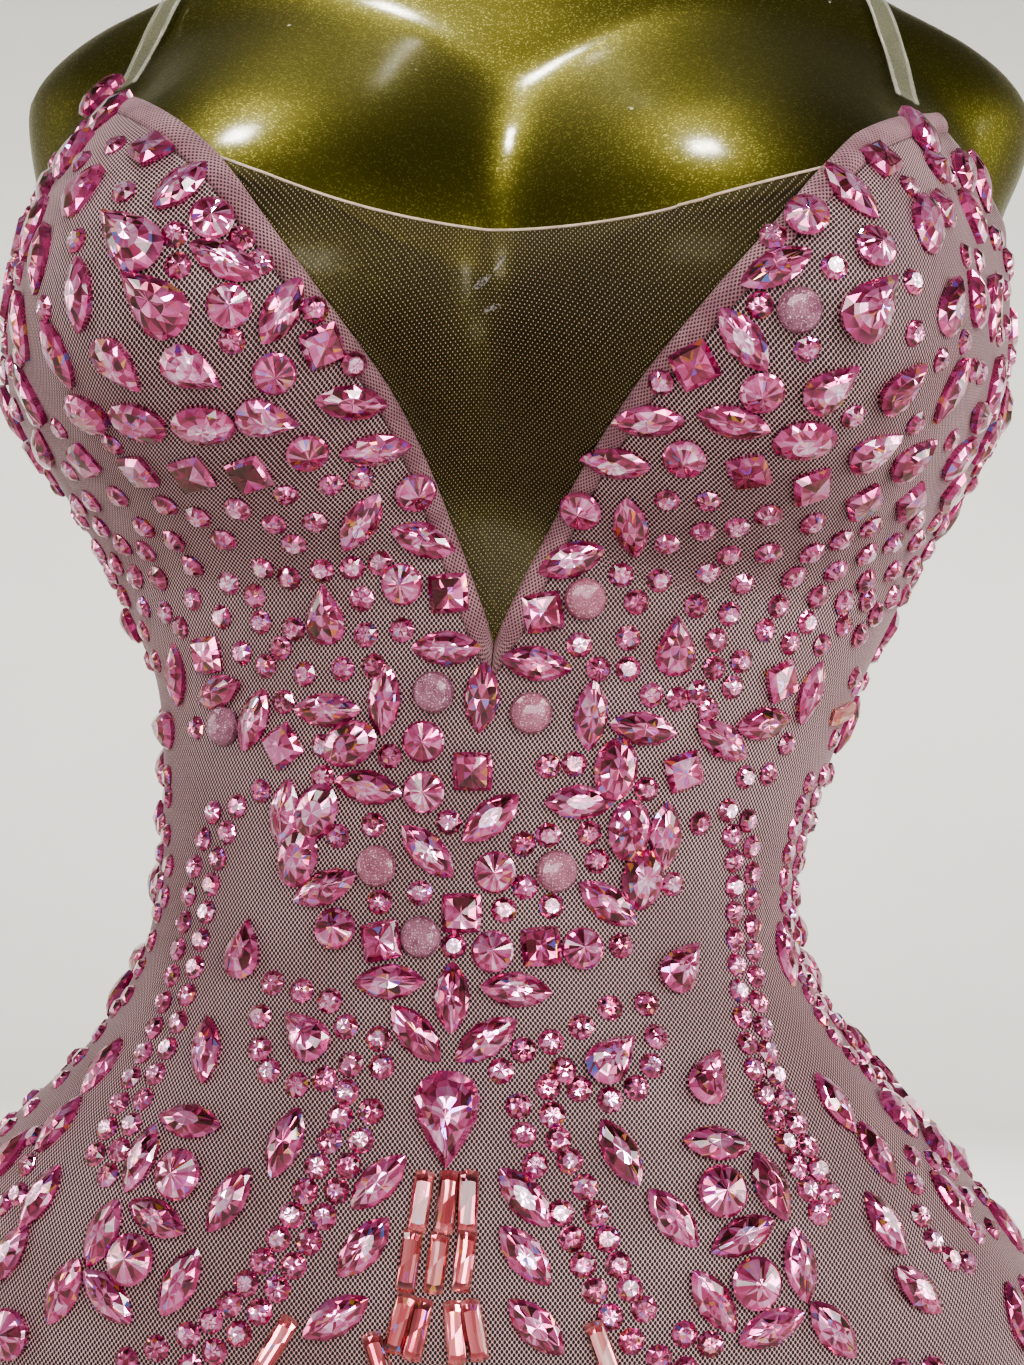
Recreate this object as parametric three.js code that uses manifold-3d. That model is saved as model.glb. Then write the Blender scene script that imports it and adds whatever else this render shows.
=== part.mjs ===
// A strapless-looking stage bodysuit of pink power mesh, worn on a smooth limbless display torso.
// The front is one panel with a deep V, filled with a fine skin-coloured net; clear straps go over the shoulders.
// Millimetres, +Z up, the wearer's front faces -Y, and the torso stands on its two flat thigh ends at Z = 0.
import * as THREE from "three";
import { mergeVertices } from "three/addons/utils/BufferGeometryUtils.js";
import Module from "manifold-3d";

const wasm = await Module();
wasm.setup();

// Driving dimensions
const CLOTH = 1.1; // wall of every cloth piece
const CLEAR = 1.6; // between the torso and the cloth on it
const SEAM = 0.3; // between neighbouring pieces
const BAND = { width: 6.5, wall: 2.0, tip: 12 }; // folded hem; tip is its length below the V's point
const STRAP = { width: 7.5, wall: 1.0, clear: 1.9, endRight: 211, endLeft: 214.6 }; // ends in degrees
const CENTRE_Y = 9; // moves the whole figure back, so that the origin is under the middle of its box

// The bust's two soft domes, one each side of the middle
const BUST = { x: 72, z: 508, rise: 60, turn: 20, across: 90, above: 112, below: 76, power: 1.6 };

const SIDE_TOP = 556; // top edge under the arm
const BACK_TOP = 505; // top edge at the middle of the back
const GUSSET = { z: 92, angle: 20, backAngle: 22 };
const NET = { low: 427, middle: 522.5, end: 539, taut: 0.75 }; // lowest row, top edge, how far it bridges the hollow

// The V neckline seen from the front: half its width at each height
const NECKLINE = [
  { z: 581, half: 124 },
  { z: 570, half: 111 },
  { z: 560, half: 100 },
  { z: 551, half: 90.5 },
  { z: 537, half: 78.5 },
  { z: 520, half: 65.8 },
  { z: 505, half: 53.3 },
  { z: 480, half: 32.3 },
  { z: 450, half: 14.8 },
  { z: 416, half: 0 },
];
const NECK_PEAK = NECKLINE[0];
const NECK_TIP = NECKLINE[NECKLINE.length - 1];

// How far the garment's middle line is turned round the torso, in degrees towards +X
const MIDDLE_LINE = [
  { z: 595, turn: 0 },
  { z: 566, turn: 1.5 },
  { z: 540, turn: 3 },
  { z: 505, turn: 3.7 },
  { z: 480, turn: 3.6 },
  { z: 450, turn: 1.9 },
  { z: 430, turn: 0.8 },
  { z: 405, turn: 0 },
];

// The torso's level sections, from the neck down. half is half the breadth, front and back are the
// depths before and behind the axis, sway and lean move the axis to the side and to the back, and
// square is 2 for an ellipse and more for fuller corners.
const SECTIONS = [
  { z: 745, half: 53, front: 50, back: 52, sway: 8, lean: 14, square: 2.1 },
  { z: 712, half: 55, front: 51, back: 54, sway: 8, lean: 13, square: 2.1 },
  { z: 690, half: 61, front: 52, back: 58, sway: 8, lean: 11, square: 2.1 },
  { z: 668, half: 77, front: 51, back: 63, sway: 8, lean: 9, square: 2.1 },
  { z: 650, half: 98, front: 50, back: 65, sway: 8, lean: 8, square: 2.1 },
  { z: 634, half: 124, front: 53, back: 67, sway: 7, lean: 7, square: 2.15 },
  { z: 618, half: 152, front: 59, back: 70, sway: 7, lean: 6, square: 2.15 },
  { z: 600, half: 166, front: 66, back: 73, sway: 6, lean: 4, square: 2.15 },
  { z: 582, half: 164, front: 73, back: 77, sway: 5, lean: 2, square: 2.15 },
  { z: 562, half: 158, front: 80, back: 80, sway: 3.5, lean: 0, square: 2.15 },
  { z: 535, half: 160.5, front: 86, back: 82, sway: 2, lean: 0, square: 2.15 },
  { z: 495, half: 157.5, front: 88, back: 81, sway: 1, lean: 0, square: 2.15 },
  { z: 464, half: 138.5, front: 88, back: 79, sway: 2.7, lean: 0, square: 2.15 },
  { z: 436, half: 123.3, front: 86, back: 76, sway: 4.3, lean: 0, square: 2.15 },
  { z: 408, half: 110.5, front: 83, back: 72, sway: 4.6, lean: 0, square: 2.15 },
  { z: 378, half: 103.5, front: 80, back: 68, sway: 1.5, lean: 0, square: 2.15 },
  { z: 345, half: 100, front: 79, back: 66, sway: -2.2, lean: 0, square: 2.15 },
  { z: 318, half: 105, front: 83, back: 72, sway: -1.5, lean: 1, square: 2.2 },
  { z: 290, half: 123.5, front: 91, back: 83, sway: 1, lean: 2, square: 2.25 },
  { z: 260, half: 152, front: 99, back: 97, sway: 0.5, lean: 3, square: 2.3 },
  { z: 230, half: 174, front: 103, back: 109, sway: 0, lean: 4, square: 2.35 },
  { z: 200, half: 183, front: 102, back: 114, sway: 0, lean: 4, square: 2.4 },
  { z: 174, half: 182.5, front: 99, back: 113, sway: 0, lean: 4, square: 2.45 },
  { z: 150, half: 178, front: 96, back: 108, sway: 0, lean: 4, square: 2.5 },
];
const BOWL = { z: 150, depth: 74 }; // below the last section the torso closes like a bowl

// A thigh's breadth at each height, half of it; its depth is deeper times that
const THIGH = { x: 101, y: 8, deeper: 1.18 };
const THIGH_LINE = [
  { z: 216, half: 40 },
  { z: 200, half: 60 },
  { z: 180, half: 70 },
  { z: 150, half: 74.5 },
  { z: 100, half: 74 },
  { z: 4, half: 70 },
  { z: 0, half: 66 },
];
const BLEND = 5; // softens the cloth over the crease between torso and thigh

const degrees = THREE.MathUtils.degToRad;
const mix = THREE.MathUtils.lerp;
const clamp = THREE.MathUtils.clamp;

// The straight line through a table's rows, which run from the top down.
function straight(rows, name, z) {
  const i = clamp(rows.findIndex((row) => row.z <= z), 1, rows.length - 1);
  const [above, below] = [rows[i - 1], rows[i]];
  return mix(below[name], above[name], clamp((z - below.z) / (above.z - below.z), 0, 1));
}

// A smooth curve through one column of such a table.
function smooth(rows, name, z) {
  const last = rows.length - 1;
  const at = clamp(z, rows[last].z, rows[0].z);
  const i = clamp(rows.findIndex((row) => row.z <= at), 1, last);
  const [a, b, c, d] = [i - 2, i - 1, i, i + 1].map((k) => rows[clamp(k, 0, last)]);
  const h = b.z - c.z;
  const slopeB = (h * (c[name] - a[name])) / (a.z - c.z);
  const slopeC = (h * (d[name] - b[name])) / (b.z - d.z);
  const t = (b.z - at) / h;
  const t2 = t * t;
  const t3 = t2 * t;
  const ends = (2 * t3 - 3 * t2 + 1) * b[name] + (3 * t2 - 2 * t3) * c[name];
  return ends + (t3 - 2 * t2 + t) * slopeB + (t3 - t2) * slopeC;
}

function sectionAt(z) {
  const bowl = z < BOWL.z ? Math.sqrt(Math.max(0, 1 - ((BOWL.z - z) / BOWL.depth) ** 2)) : 1;
  const column = (name) => smooth(SECTIONS, name, z);
  return {
    half: column("half") * bowl,
    front: column("front") * bowl,
    back: column("back") * bowl,
    sway: column("sway"),
    lean: column("lean") + CENTRE_Y,
    square: column("square"),
  };
}

// Distance from the axis to the torso. The angle is 0 at the front, 90 on +X.
function torsoRadius(angle, z) {
  const s = sectionAt(z);
  const across = Math.abs(Math.sin(angle)) / s.half;
  const along = Math.abs(Math.cos(angle)) / (Math.cos(angle) > 0 ? s.front : s.back);
  return (across ** s.square + along ** s.square) ** (-1 / s.square);
}

// Distance from the axis to the far side of the thigh in that direction, or 0 where the line misses it.
function thighRadius(angle, z) {
  if (z > THIGH_LINE[0].z) return 0;
  const s = sectionAt(z);
  const side = Math.sign(Math.sin(angle)) || 1;
  const rx = straight(THIGH_LINE, "half", z);
  const ry = rx * THIGH.deeper;
  const dx = Math.sin(angle) / rx;
  const dy = -Math.cos(angle) / ry;
  const ox = (s.sway - side * THIGH.x) / rx;
  const oy = (s.lean - THIGH.y - CENTRE_Y) / ry;
  const a = dx * dx + dy * dy;
  const b = ox * dx + oy * dy;
  const c = ox * ox + oy * oy - 1;
  const inside = b * b - a * c;
  return inside < 0 ? 0 : Math.max(0, (-b + Math.sqrt(inside)) / a);
}

// The bust's push at a point beside the axis, which fades to nothing at the dome's edge.
function bustPush(x, y, z) {
  const side = Math.abs(x) - BUST.x;
  const up = z - BUST.z;
  const r2 = (side / BUST.across) ** 2 + (up / (up > 0 ? BUST.above : BUST.below)) ** 2;
  if (r2 >= 1 || y >= 0) return new THREE.Vector3();
  const ahead = Math.min(1, (4 * -y) / Math.hypot(x, y));
  const push = BUST.rise * (1 - r2) ** BUST.power * ahead;
  const turn = degrees(BUST.turn);
  const aside = Math.sin(turn) * clamp(x / BUST.x, -1, 1);
  return new THREE.Vector3(push * aside, -push * Math.cos(turn), 0);
}

// A point on the torso, at an angle from the garment's middle line. withThighs also rounds it over the
// thighs, as cloth does.
function skin(angleDeg, z, withThighs) {
  const angle = degrees(angleDeg + smooth(MIDDLE_LINE, "turn", z));
  const s = sectionAt(z);
  let r = torsoRadius(angle, z);
  if (withThighs) {
    const other = thighRadius(angle, z);
    const near = Math.max(BLEND - Math.abs(r - other), 0) / BLEND;
    r = Math.max(r, other) + (near * near * BLEND) / 4;
  }
  const x = r * Math.sin(angle);
  const y = -r * Math.cos(angle);
  return new THREE.Vector3(s.sway + x, s.lean + y, z).add(bustPush(x, y, z));
}

// A point at a distance outside the cloth's own line on the torso, measured square to it.
function surface(angleDeg, z, offset) {
  const turn = skin(angleDeg + 0.5, z, true).sub(skin(angleDeg - 0.5, z, true));
  const climb = skin(angleDeg, z + 1, true).sub(skin(angleDeg, z - 1, true));
  const outward = turn.cross(climb).normalize();
  return skin(angleDeg, z, true).addScaledVector(outward, offset);
}

// A closed solid between two grids of points with the same rows and columns.
function wall(outer, inner) {
  const rows = outer.length;
  const cols = outer[0].length;
  const points = [...outer.flat(), ...inner.flat()];
  const at = (layer, i, j) => layer * rows * cols + i * cols + j;
  const index = [];
  const quad = (a, b, c, d) => index.push(a, b, c, a, c, d);
  for (let i = 0; i + 1 < rows; i++) {
    for (let j = 0; j + 1 < cols; j++) {
      // Both layers are split along the shorter diagonal of the outer one
      const first = outer[i][j].distanceTo(outer[i + 1][j + 1]);
      const second = outer[i][j + 1].distanceTo(outer[i + 1][j]);
      const corners = [[i, j], [i, j + 1], [i + 1, j + 1], [i + 1, j]];
      if (second < first) corners.push(corners.shift());
      quad(...corners.map(([row, col]) => at(0, row, col)));
      const [a, b, c, d] = corners.map(([row, col]) => at(1, row, col));
      quad(a, d, c, b);
    }
  }
  for (let j = 0; j + 1 < cols; j++) {
    quad(at(0, 0, j), at(1, 0, j), at(1, 0, j + 1), at(0, 0, j + 1));
    quad(at(0, rows - 1, j), at(0, rows - 1, j + 1), at(1, rows - 1, j + 1), at(1, rows - 1, j));
  }
  for (let i = 0; i + 1 < rows; i++) {
    quad(at(0, i, 0), at(0, i + 1, 0), at(1, i + 1, 0), at(1, i, 0));
    quad(at(0, i, cols - 1), at(1, i, cols - 1), at(1, i + 1, cols - 1), at(0, i + 1, cols - 1));
  }
  return geometryOf(points, index);
}

// A closed solid through rings of points, with a fan at each end.
function loft(rings) {
  const n = rings[0].length;
  const points = rings.flat();
  const index = [];
  for (let i = 0; i + 1 < rings.length; i++) {
    for (let j = 0; j < n; j++) {
      const a = i * n + j;
      const b = i * n + ((j + 1) % n);
      index.push(a, b, b + n, a, b + n, a + n);
    }
  }
  const middle = (ring) => ring.reduce((sum, p) => sum.add(p), new THREE.Vector3()).divideScalar(n);
  points.push(middle(rings[0]), middle(rings[rings.length - 1]));
  const last = (rings.length - 1) * n;
  for (let j = 0; j < n; j++) {
    index.push(points.length - 2, (j + 1) % n, j);
    index.push(points.length - 1, last + j, last + ((j + 1) % n));
  }
  return geometryOf(points, index);
}

function geometryOf(points, index) {
  const geometry = new THREE.BufferGeometry().setFromPoints(points);
  geometry.setIndex(index);
  geometry.computeVertexNormals();
  return geometry;
}

// To a solid for joining and cutting, and back.
function solidOf(geometry) {
  const bare = geometry.clone();
  bare.deleteAttribute("normal");
  bare.deleteAttribute("uv");
  const merged = mergeVertices(bare, 1e-4);
  return new wasm.Manifold(
    new wasm.Mesh({
      numProp: 3,
      vertProperties: new Float32Array(merged.attributes.position.array),
      triVerts: new Uint32Array(merged.index.array),
    }),
  );
}

function geometryFrom(solid) {
  const mesh = solid.getMesh();
  const geometry = new THREE.BufferGeometry();
  geometry.setAttribute("position", new THREE.BufferAttribute(new Float32Array(mesh.vertProperties), 3));
  geometry.setIndex(new THREE.BufferAttribute(new Uint32Array(mesh.triVerts), 1));
  geometry.computeVertexNormals();
  return geometry;
}

// Materials
const gold = new THREE.MeshStandardMaterial({ color: 0x8f8320, roughness: 0.28, metalness: 0.85 });
const mesh = new THREE.MeshStandardMaterial({ color: 0xb08794, roughness: 0.85, metalness: 0 });
const band = new THREE.MeshStandardMaterial({ color: 0xc090a2, roughness: 0.8, metalness: 0 });
const nude = new THREE.MeshStandardMaterial({ color: 0x9a8560, roughness: 0.8, metalness: 0 });
const clear = new THREE.MeshStandardMaterial({ color: 0xd8dcd8, roughness: 0.15, metalness: 0 });

const bodysuit = new THREE.Group();

function add(name, geometry, material) {
  const piece = new THREE.Mesh(geometry, material);
  piece.name = name;
  bodysuit.add(piece);
}

// The display torso: a loft with a flat neck, joined to two short thighs with flat ends
function torsoHeights() {
  const heights = [];
  for (let step = 1; step <= 6; step++) {
    heights.push(BOWL.z - BOWL.depth * Math.cos(degrees(step * 14)));
  }
  const top = SECTIONS[0].z;
  const rows = 54;
  for (let i = 0; i <= rows; i++) heights.push(mix(BOWL.z + 4, top, i / rows));
  return heights;
}

function displayTorso() {
  const around = 60;
  const rings = torsoHeights().map((z) =>
    Array.from({ length: around }, (_, j) => skin((360 * j) / around, z, false)),
  );
  const line = [...THIGH_LINE].reverse().map(({ z, half }) => new THREE.Vector2(half, z));
  const profile = [new THREE.Vector2(0, line[0].y), ...line, new THREE.Vector2(0, line[line.length - 1].y)];
  let whole = solidOf(loft(rings));
  for (const side of [-1, 1]) {
    const thigh = new THREE.LatheGeometry(profile, 40);
    thigh.rotateX(degrees(90));
    thigh.scale(1, THIGH.deeper, 1);
    thigh.translate(side * THIGH.x, THIGH.y + CENTRE_Y, 0);
    whole = whole.add(solidOf(thigh));
  }
  return geometryFrom(whole);
}

add("dress_form", displayTorso(), gold);

// Cloth edges. An edge point is {angle, z}; inward is the way into the panel, for each millimetre.
const neckHalfWidth = (z) => smooth(NECKLINE, "half", z);

// The angle at which the two edges of an opening are twice x apart.
function angleAcross(x, z) {
  let low = 0;
  let high = 89;
  for (let k = 0; k < 40; k++) {
    const middle = (low + high) / 2;
    const apart = surface(middle, z, CLEAR).x - surface(-middle, z, CLEAR).x;
    if (apart / 2 < x) low = middle;
    else high = middle;
  }
  return (low + high) / 2;
}

// Millimetres along the cloth for one degree round the torso.
const perDegree = (angle, z) => surface(angle + 0.5, z, CLEAR).distanceTo(surface(angle - 0.5, z, CLEAR));

// The height at which the V's edge crosses an angle
function neckHeight(angle) {
  let low = NECK_TIP.z;
  let high = NECK_PEAK.z;
  for (let k = 0; k < 24; k++) {
    const middle = (low + high) / 2;
    if (angleAcross(neckHalfWidth(middle), middle) < angle) low = middle;
    else high = middle;
  }
  return (low + high) / 2;
}

// The V's edge from its tip to the cup's peak, on the +X side, in equal turns round the torso
function neckEdge() {
  const steps = 14;
  const peak = angleAcross(NECK_PEAK.half, NECK_PEAK.z);
  const points = Array.from({ length: steps + 1 }, (_, k) => {
    const angle = (peak * k) / steps;
    return { angle, z: neckHeight(angle) };
  });
  return points.map((p, k) => {
    const before = points[Math.max(0, k - 1)];
    const after = points[Math.min(steps, k + 1)];
    const arc = perDegree(p.angle, p.z);
    const level = (after.angle - before.angle) * arc;
    const rise = after.z - before.z;
    const length = Math.hypot(level, rise);
    const inward = { angle: rise / length / arc, z: -level / length };
    return { ...p, inward: k ? inward : { angle: 0, z: -BAND.tip / BAND.width } };
  });
}

const moved = ({ angle, z, inward }, distance) => ({
  angle: angle + inward.angle * distance,
  z: z + inward.z * distance,
});

const neckline = neckEdge();

// Bands: a folded hem along each side of the V
function neckBand(side) {
  const start = 0.1; // degrees, so that the two bands stay apart at the V's tip
  const grid = (offset) =>
    [BAND.width, BAND.width / 2, 0].map((distance) =>
      neckline.map((edge) => {
        const p = moved(edge, distance);
        return surface(side * Math.max(start, p.angle), p.z, offset);
      }),
    );
  const outer = grid(CLEAR + BAND.wall);
  const inner = grid(CLEAR);
  return side > 0 ? wall(outer, inner) : wall(inner, outer);
}

add("neck_band_right", neckBand(1), band);
add("neck_band_left", neckBand(-1), band);

// The leg opening: heights at angles from the front, 90 at the side seam, 180 at the back
const LEG_LINE = [
  { angle: 0, z: GUSSET.z },
  { angle: GUSSET.angle, z: GUSSET.z },
  { angle: 30, z: 112 },
  { angle: 45, z: 140 },
  { angle: 62, z: 163 },
  { angle: 78, z: 179 },
  { angle: 90, z: 185 },
  { angle: 104, z: 179 },
  { angle: 122, z: 154 },
  { angle: 140, z: 122 },
  { angle: 180 - GUSSET.backAngle, z: GUSSET.z },
  { angle: 180, z: GUSSET.z },
];

function legHeight(angle) {
  const a = Math.abs(angle);
  const i = Math.max(1, LEG_LINE.findIndex((row) => row.angle >= a));
  const from = LEG_LINE[i - 1];
  const to = LEG_LINE[i];
  return mix(from.z, to.z, (a - from.angle) / (to.angle - from.angle));
}

// A panel is a grid of columns {angle, top, low}; rows run from the leg edge to the top edge and lie
// closer together near both.
function panelGrid(columns, rows, offset) {
  return Array.from({ length: rows + 1 }, (_, i) => {
    const share = i / rows - (0.35 * Math.sin((2 * Math.PI * i) / rows)) / (2 * Math.PI);
    return columns.map(({ angle, top, low }) => surface(angle, mix(low, top, share), offset));
  });
}

function panel(columns, rows) {
  return wall(panelGrid(columns, rows, CLEAR + CLOTH), panelGrid(columns, rows, CLEAR));
}

const NARROWEST = 80; // how far the side seams are from the middle, where they are nearest to it
const seamTurn = THREE.MathUtils.radToDeg(SEAM / 2 / NARROWEST);
const mirrored = (columns) => columns.map((c) => ({ ...c, angle: -c.angle })).reverse();

// Front panel, from side seam to side seam, under the V's bands
function frontColumns() {
  const columns = neckline.map((edge) => moved(edge, BAND.width + 1.5 * SEAM));
  const peak = columns[columns.length - 1];
  const beyond = 6;
  for (let k = 1; k <= beyond; k++) {
    const share = k / beyond;
    columns.push({
      angle: mix(peak.angle, 90 - seamTurn, share),
      z: mix(peak.z, SIDE_TOP, Math.sin(degrees(90 * share))),
    });
  }
  return columns.map(({ angle, z }) => ({ angle, top: z, low: legHeight(angle) }));
}

const halfFront = frontColumns();
add("front_panel", panel([...mirrored(halfFront), ...halfFront.slice(1)], 30), mesh);

// Back panel, with a top edge that dips a little to the middle
function backColumns() {
  const steps = 32;
  return Array.from({ length: steps + 1 }, (_, k) => {
    const angle = mix(90 + seamTurn, 270 - seamTurn, k / steps);
    const share = Math.sin(degrees(angle - 90)) ** 1.4;
    const folded = angle > 180 ? 360 - angle : angle;
    return { angle, top: mix(SIDE_TOP, BACK_TOP, share), low: legHeight(folded) };
  });
}

add("back_panel", panel(backColumns(), 20), mesh);

// A grid moved out square to itself
function movedOut(points, offset) {
  const last = points.length - 1;
  const side = points[0].length - 1;
  return points.map((row, i) =>
    row.map((p, j) => {
      const along = points[Math.min(last, i + 1)][j].clone().sub(points[Math.max(0, i - 1)][j]);
      const across = row[Math.min(side, j + 1)].clone().sub(row[Math.max(0, j - 1)]);
      return p.clone().addScaledVector(across.cross(along).normalize(), offset);
    }),
  );
}

const sheet = (points, low, high) => wall(movedOut(points, high), movedOut(points, low));

// Gusset: a strip that follows the torso's bowl from the back seam, between the thighs, to the front seam
function gussetPoints() {
  const across = 8;
  const along = 12;
  const s = sectionAt(BOWL.z);
  const seam = GUSSET.z - SEAM;
  const bowlHeight = (x, y) => {
    const depth = y < s.lean ? s.front : s.back;
    const power = Math.abs((x - s.sway) / s.half) ** s.square + Math.abs((y - s.lean) / depth) ** s.square;
    const k = power ** (1 / s.square);
    return BOWL.z - BOWL.depth * Math.sqrt(1 - k * k);
  };
  return Array.from({ length: along + 1 }, (_, i) =>
    Array.from({ length: across + 1 }, (_, j) => {
      const share = (2 * j) / across - 1;
      const front = skin(GUSSET.angle * share, seam, true);
      const rear = skin(180 - GUSSET.backAngle * share, seam, true);
      const p = rear.lerp(front, i / along);
      return new THREE.Vector3(p.x, p.y, bowlHeight(p.x, p.y));
    }),
  );
}

add("gusset", sheet(gussetPoints(), CLEAR, CLEAR + CLOTH), mesh);

// Net insert: fills the V from edge to edge and partly bridges the hollow between the cups
function netPoints() {
  const across = 12;
  const sides = neckline.slice(1).filter((edge) => edge.z < NET.end - 5 && edge.z > NET.low + 4);
  const edgeAt = (near, z) => ({ ...near, z, angle: angleAcross(neckHalfWidth(z), z) });
  const rows = [edgeAt(sides[0], NET.low), ...sides, edgeAt(sides[sides.length - 1], NET.end)];
  return rows.map((edge, i) => {
    const end = moved(edge, -2.6 * SEAM);
    const dip = (NET.end - NET.middle) * (i / (rows.length - 1)) ** 2;
    return Array.from({ length: across + 1 }, (_, j) => {
      const share = (2 * j) / across - 1;
      const onSkin = skin(end.angle * share, end.z - dip * (1 - share * share), true);
      const left = skin(-end.angle, end.z, true);
      const bridge = left.lerp(skin(end.angle, end.z, true), (share + 1) / 2).setZ(onSkin.z);
      const taut = onSkin.y > bridge.y ? NET.taut * (1 - share ** 4) ** 1.5 : 0;
      return onSkin.lerp(bridge, taut);
    });
  });
}

add("net_insert", sheet(netPoints(), CLEAR, CLEAR + CLOTH), nude);

// Is the point inside the torso? The bust's push is taken off again before the section is tested.
function insideTorso(p) {
  const s = sectionAt(p.z);
  const x = p.x - s.sway;
  const y = p.y - s.lean;
  let push = new THREE.Vector3();
  for (let k = 0; k < 8; k++) push = bustPush(x - push.x, y - push.y, p.z);
  const angle = Math.atan2(x - push.x, -(y - push.y));
  return Math.hypot(x - push.x, y - push.y) < torsoRadius(angle, p.z);
}

// Straps: from the cup's peak over the shoulder to the back panel's edge, in a fan of upright rays
function strapPoints(side, to) {
  const rows = 26;
  const hub = { y: CENTRE_Y, z: 572 };
  const from = 6.5;
  const xs = [
    { z: to, x: 66 },
    { z: 150, x: 92 },
    { z: 90, x: 104 },
    { z: 40, x: 114 },
    { z: from, x: 115 },
  ];
  return Array.from({ length: rows + 1 }, (_, i) => {
    const turn = mix(from, to, i / rows);
    const middle = smooth(xs, "x", turn);
    return [-0.5, 0, 0.5].map((share) => {
      const sway = sectionAt(NECK_PEAK.z).sway;
      const x = sway + side * (middle + share * STRAP.width);
      let near = 0;
      let far = 160;
      const at = (t) =>
        new THREE.Vector3(x, hub.y - t * Math.cos(degrees(turn)), hub.z + t * Math.sin(degrees(turn)));
      for (let k = 0; k < 40; k++) {
        const t = (near + far) / 2;
        if (insideTorso(at(t))) near = t;
        else far = t;
      }
      return at(near);
    });
  });
}

function strap(side, to) {
  const points = strapPoints(side, to);
  return side > 0
    ? sheet(points, STRAP.clear, STRAP.clear + STRAP.wall)
    : wall(movedOut(points, -STRAP.clear), movedOut(points, -STRAP.clear - STRAP.wall));
}

add("strap_right", strap(1, STRAP.endRight), clear);
add("strap_left", strap(-1, STRAP.endLeft), clear);

export default bodysuit;
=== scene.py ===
import math
import random
from functools import lru_cache

import bmesh
import bpy
from mathutils import Matrix, Vector
from mathutils.bvhtree import BVHTree


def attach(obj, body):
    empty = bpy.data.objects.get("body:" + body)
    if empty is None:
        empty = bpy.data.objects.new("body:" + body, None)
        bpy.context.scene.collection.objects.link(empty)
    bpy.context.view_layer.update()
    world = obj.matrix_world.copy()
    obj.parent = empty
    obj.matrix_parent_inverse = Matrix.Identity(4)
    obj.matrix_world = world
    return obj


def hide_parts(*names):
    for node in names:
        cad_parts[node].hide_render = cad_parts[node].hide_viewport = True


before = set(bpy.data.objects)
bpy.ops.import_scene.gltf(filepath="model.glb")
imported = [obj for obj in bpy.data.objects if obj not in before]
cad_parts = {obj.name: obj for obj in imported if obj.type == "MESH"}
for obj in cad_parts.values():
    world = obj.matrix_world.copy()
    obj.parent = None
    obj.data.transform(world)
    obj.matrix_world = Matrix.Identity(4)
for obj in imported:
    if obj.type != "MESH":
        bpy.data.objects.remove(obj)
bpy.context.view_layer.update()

MM = 0.001
PHOTO_W, PHOTO_H = 1024, 1365

# Driving dimensions, the same as the solids have
CLEAR = 1.6  # from the torso to the cloth's inner side
THIN = 0.45  # the mesh's own thickness
SEAM = 0.3
NARROWEST = 80  # the least radius at which a side seam lies
SEAM_TURN = math.degrees(SEAM / 2 / NARROWEST)
BAND_WIDTH, BAND_WALL, BAND_TIP = 6.5, 2.0, 12
CENTRE_Y = 9
HOLLOW = 9  # how softly the form's two domes meet
BUST = dict(x=72, z=508, rise=60, turn=20, across=90, above=112, below=76, power=1.6)
SIDE_TOP, BACK_TOP = 556, 505
GUSSET_Z, GUSSET_ANGLE, GUSSET_BACK = 92, 20, 22
NET_LOW, NET_MIDDLE, NET_END = 416.8, 522.5, 539
NET_TAUT = 0.75  # how far the net is drawn from the torso's hollow to the straight line across it
NET_THIN, NET_UNDER = 0.25, 0.2  # its thickness, and how far its edges reach under the hems
STRAP_WIDTH, STRAP_INNER, STRAP_OUTER = 7.5, 1.9, 2.5  # the strap's two sides lie this far off the torso

# The V neckline: (height, half its width)
NECKLINE = [
    (581, 124),
    (570, 111),
    (560, 100),
    (551, 90.5),
    (537, 78.5),
    (520, 65.8),
    (505, 53.3),
    (480, 32.3),
    (450, 14.8),
    (416, 0),
]

# How far the garment's middle line is turned round the torso: (height, degrees towards +X)
MIDDLE_LINE = [(595, 0), (566, 1.5), (540, 3), (505, 3.7), (480, 3.6), (450, 1.9), (430, 0.8), (405, 0)]

# The torso's level sections: (height, half breadth, front depth, back depth, sway, lean, squareness)
SECTIONS = [
    (745, 53, 50, 52, 8, 14, 2.1),
    (712, 55, 51, 54, 8, 13, 2.1),
    (690, 61, 52, 58, 8, 11, 2.1),
    (668, 77, 51, 63, 8, 9, 2.1),
    (650, 98, 50, 65, 8, 8, 2.1),
    (634, 124, 53, 67, 7, 7, 2.15),
    (618, 152, 59, 70, 7, 6, 2.15),
    (600, 166, 66, 73, 6, 4, 2.15),
    (582, 164, 73, 77, 5, 2, 2.15),
    (562, 158, 80, 80, 3.5, 0, 2.15),
    (535, 160.5, 86, 82, 2, 0, 2.15),
    (495, 157.5, 88, 81, 1, 0, 2.15),
    (464, 138.5, 88, 79, 2.7, 0, 2.15),
    (436, 123.3, 86, 76, 4.3, 0, 2.15),
    (408, 110.5, 83, 72, 4.6, 0, 2.15),
    (378, 103.5, 80, 68, 1.5, 0, 2.15),
    (345, 100, 79, 66, -2.2, 0, 2.15),
    (318, 105, 83, 72, -1.5, 1, 2.2),
    (290, 123.5, 91, 83, 1, 2, 2.25),
    (260, 152, 99, 97, 0.5, 3, 2.3),
    (230, 174, 103, 109, 0, 4, 2.35),
    (200, 183, 102, 114, 0, 4, 2.4),
    (174, 182.5, 99, 113, 0, 4, 2.45),
    (150, 178, 96, 108, 0, 4, 2.5),
]
BOWL_Z, BOWL_DEPTH = 150, 74
THIGH_X, THIGH_Y, THIGH_DEEPER = 101, 8, 1.18
THIGH_LINE = [(216, 40), (200, 60), (180, 70), (150, 74.5), (100, 74), (4, 70), (0, 66)]
BLEND = 5

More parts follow.
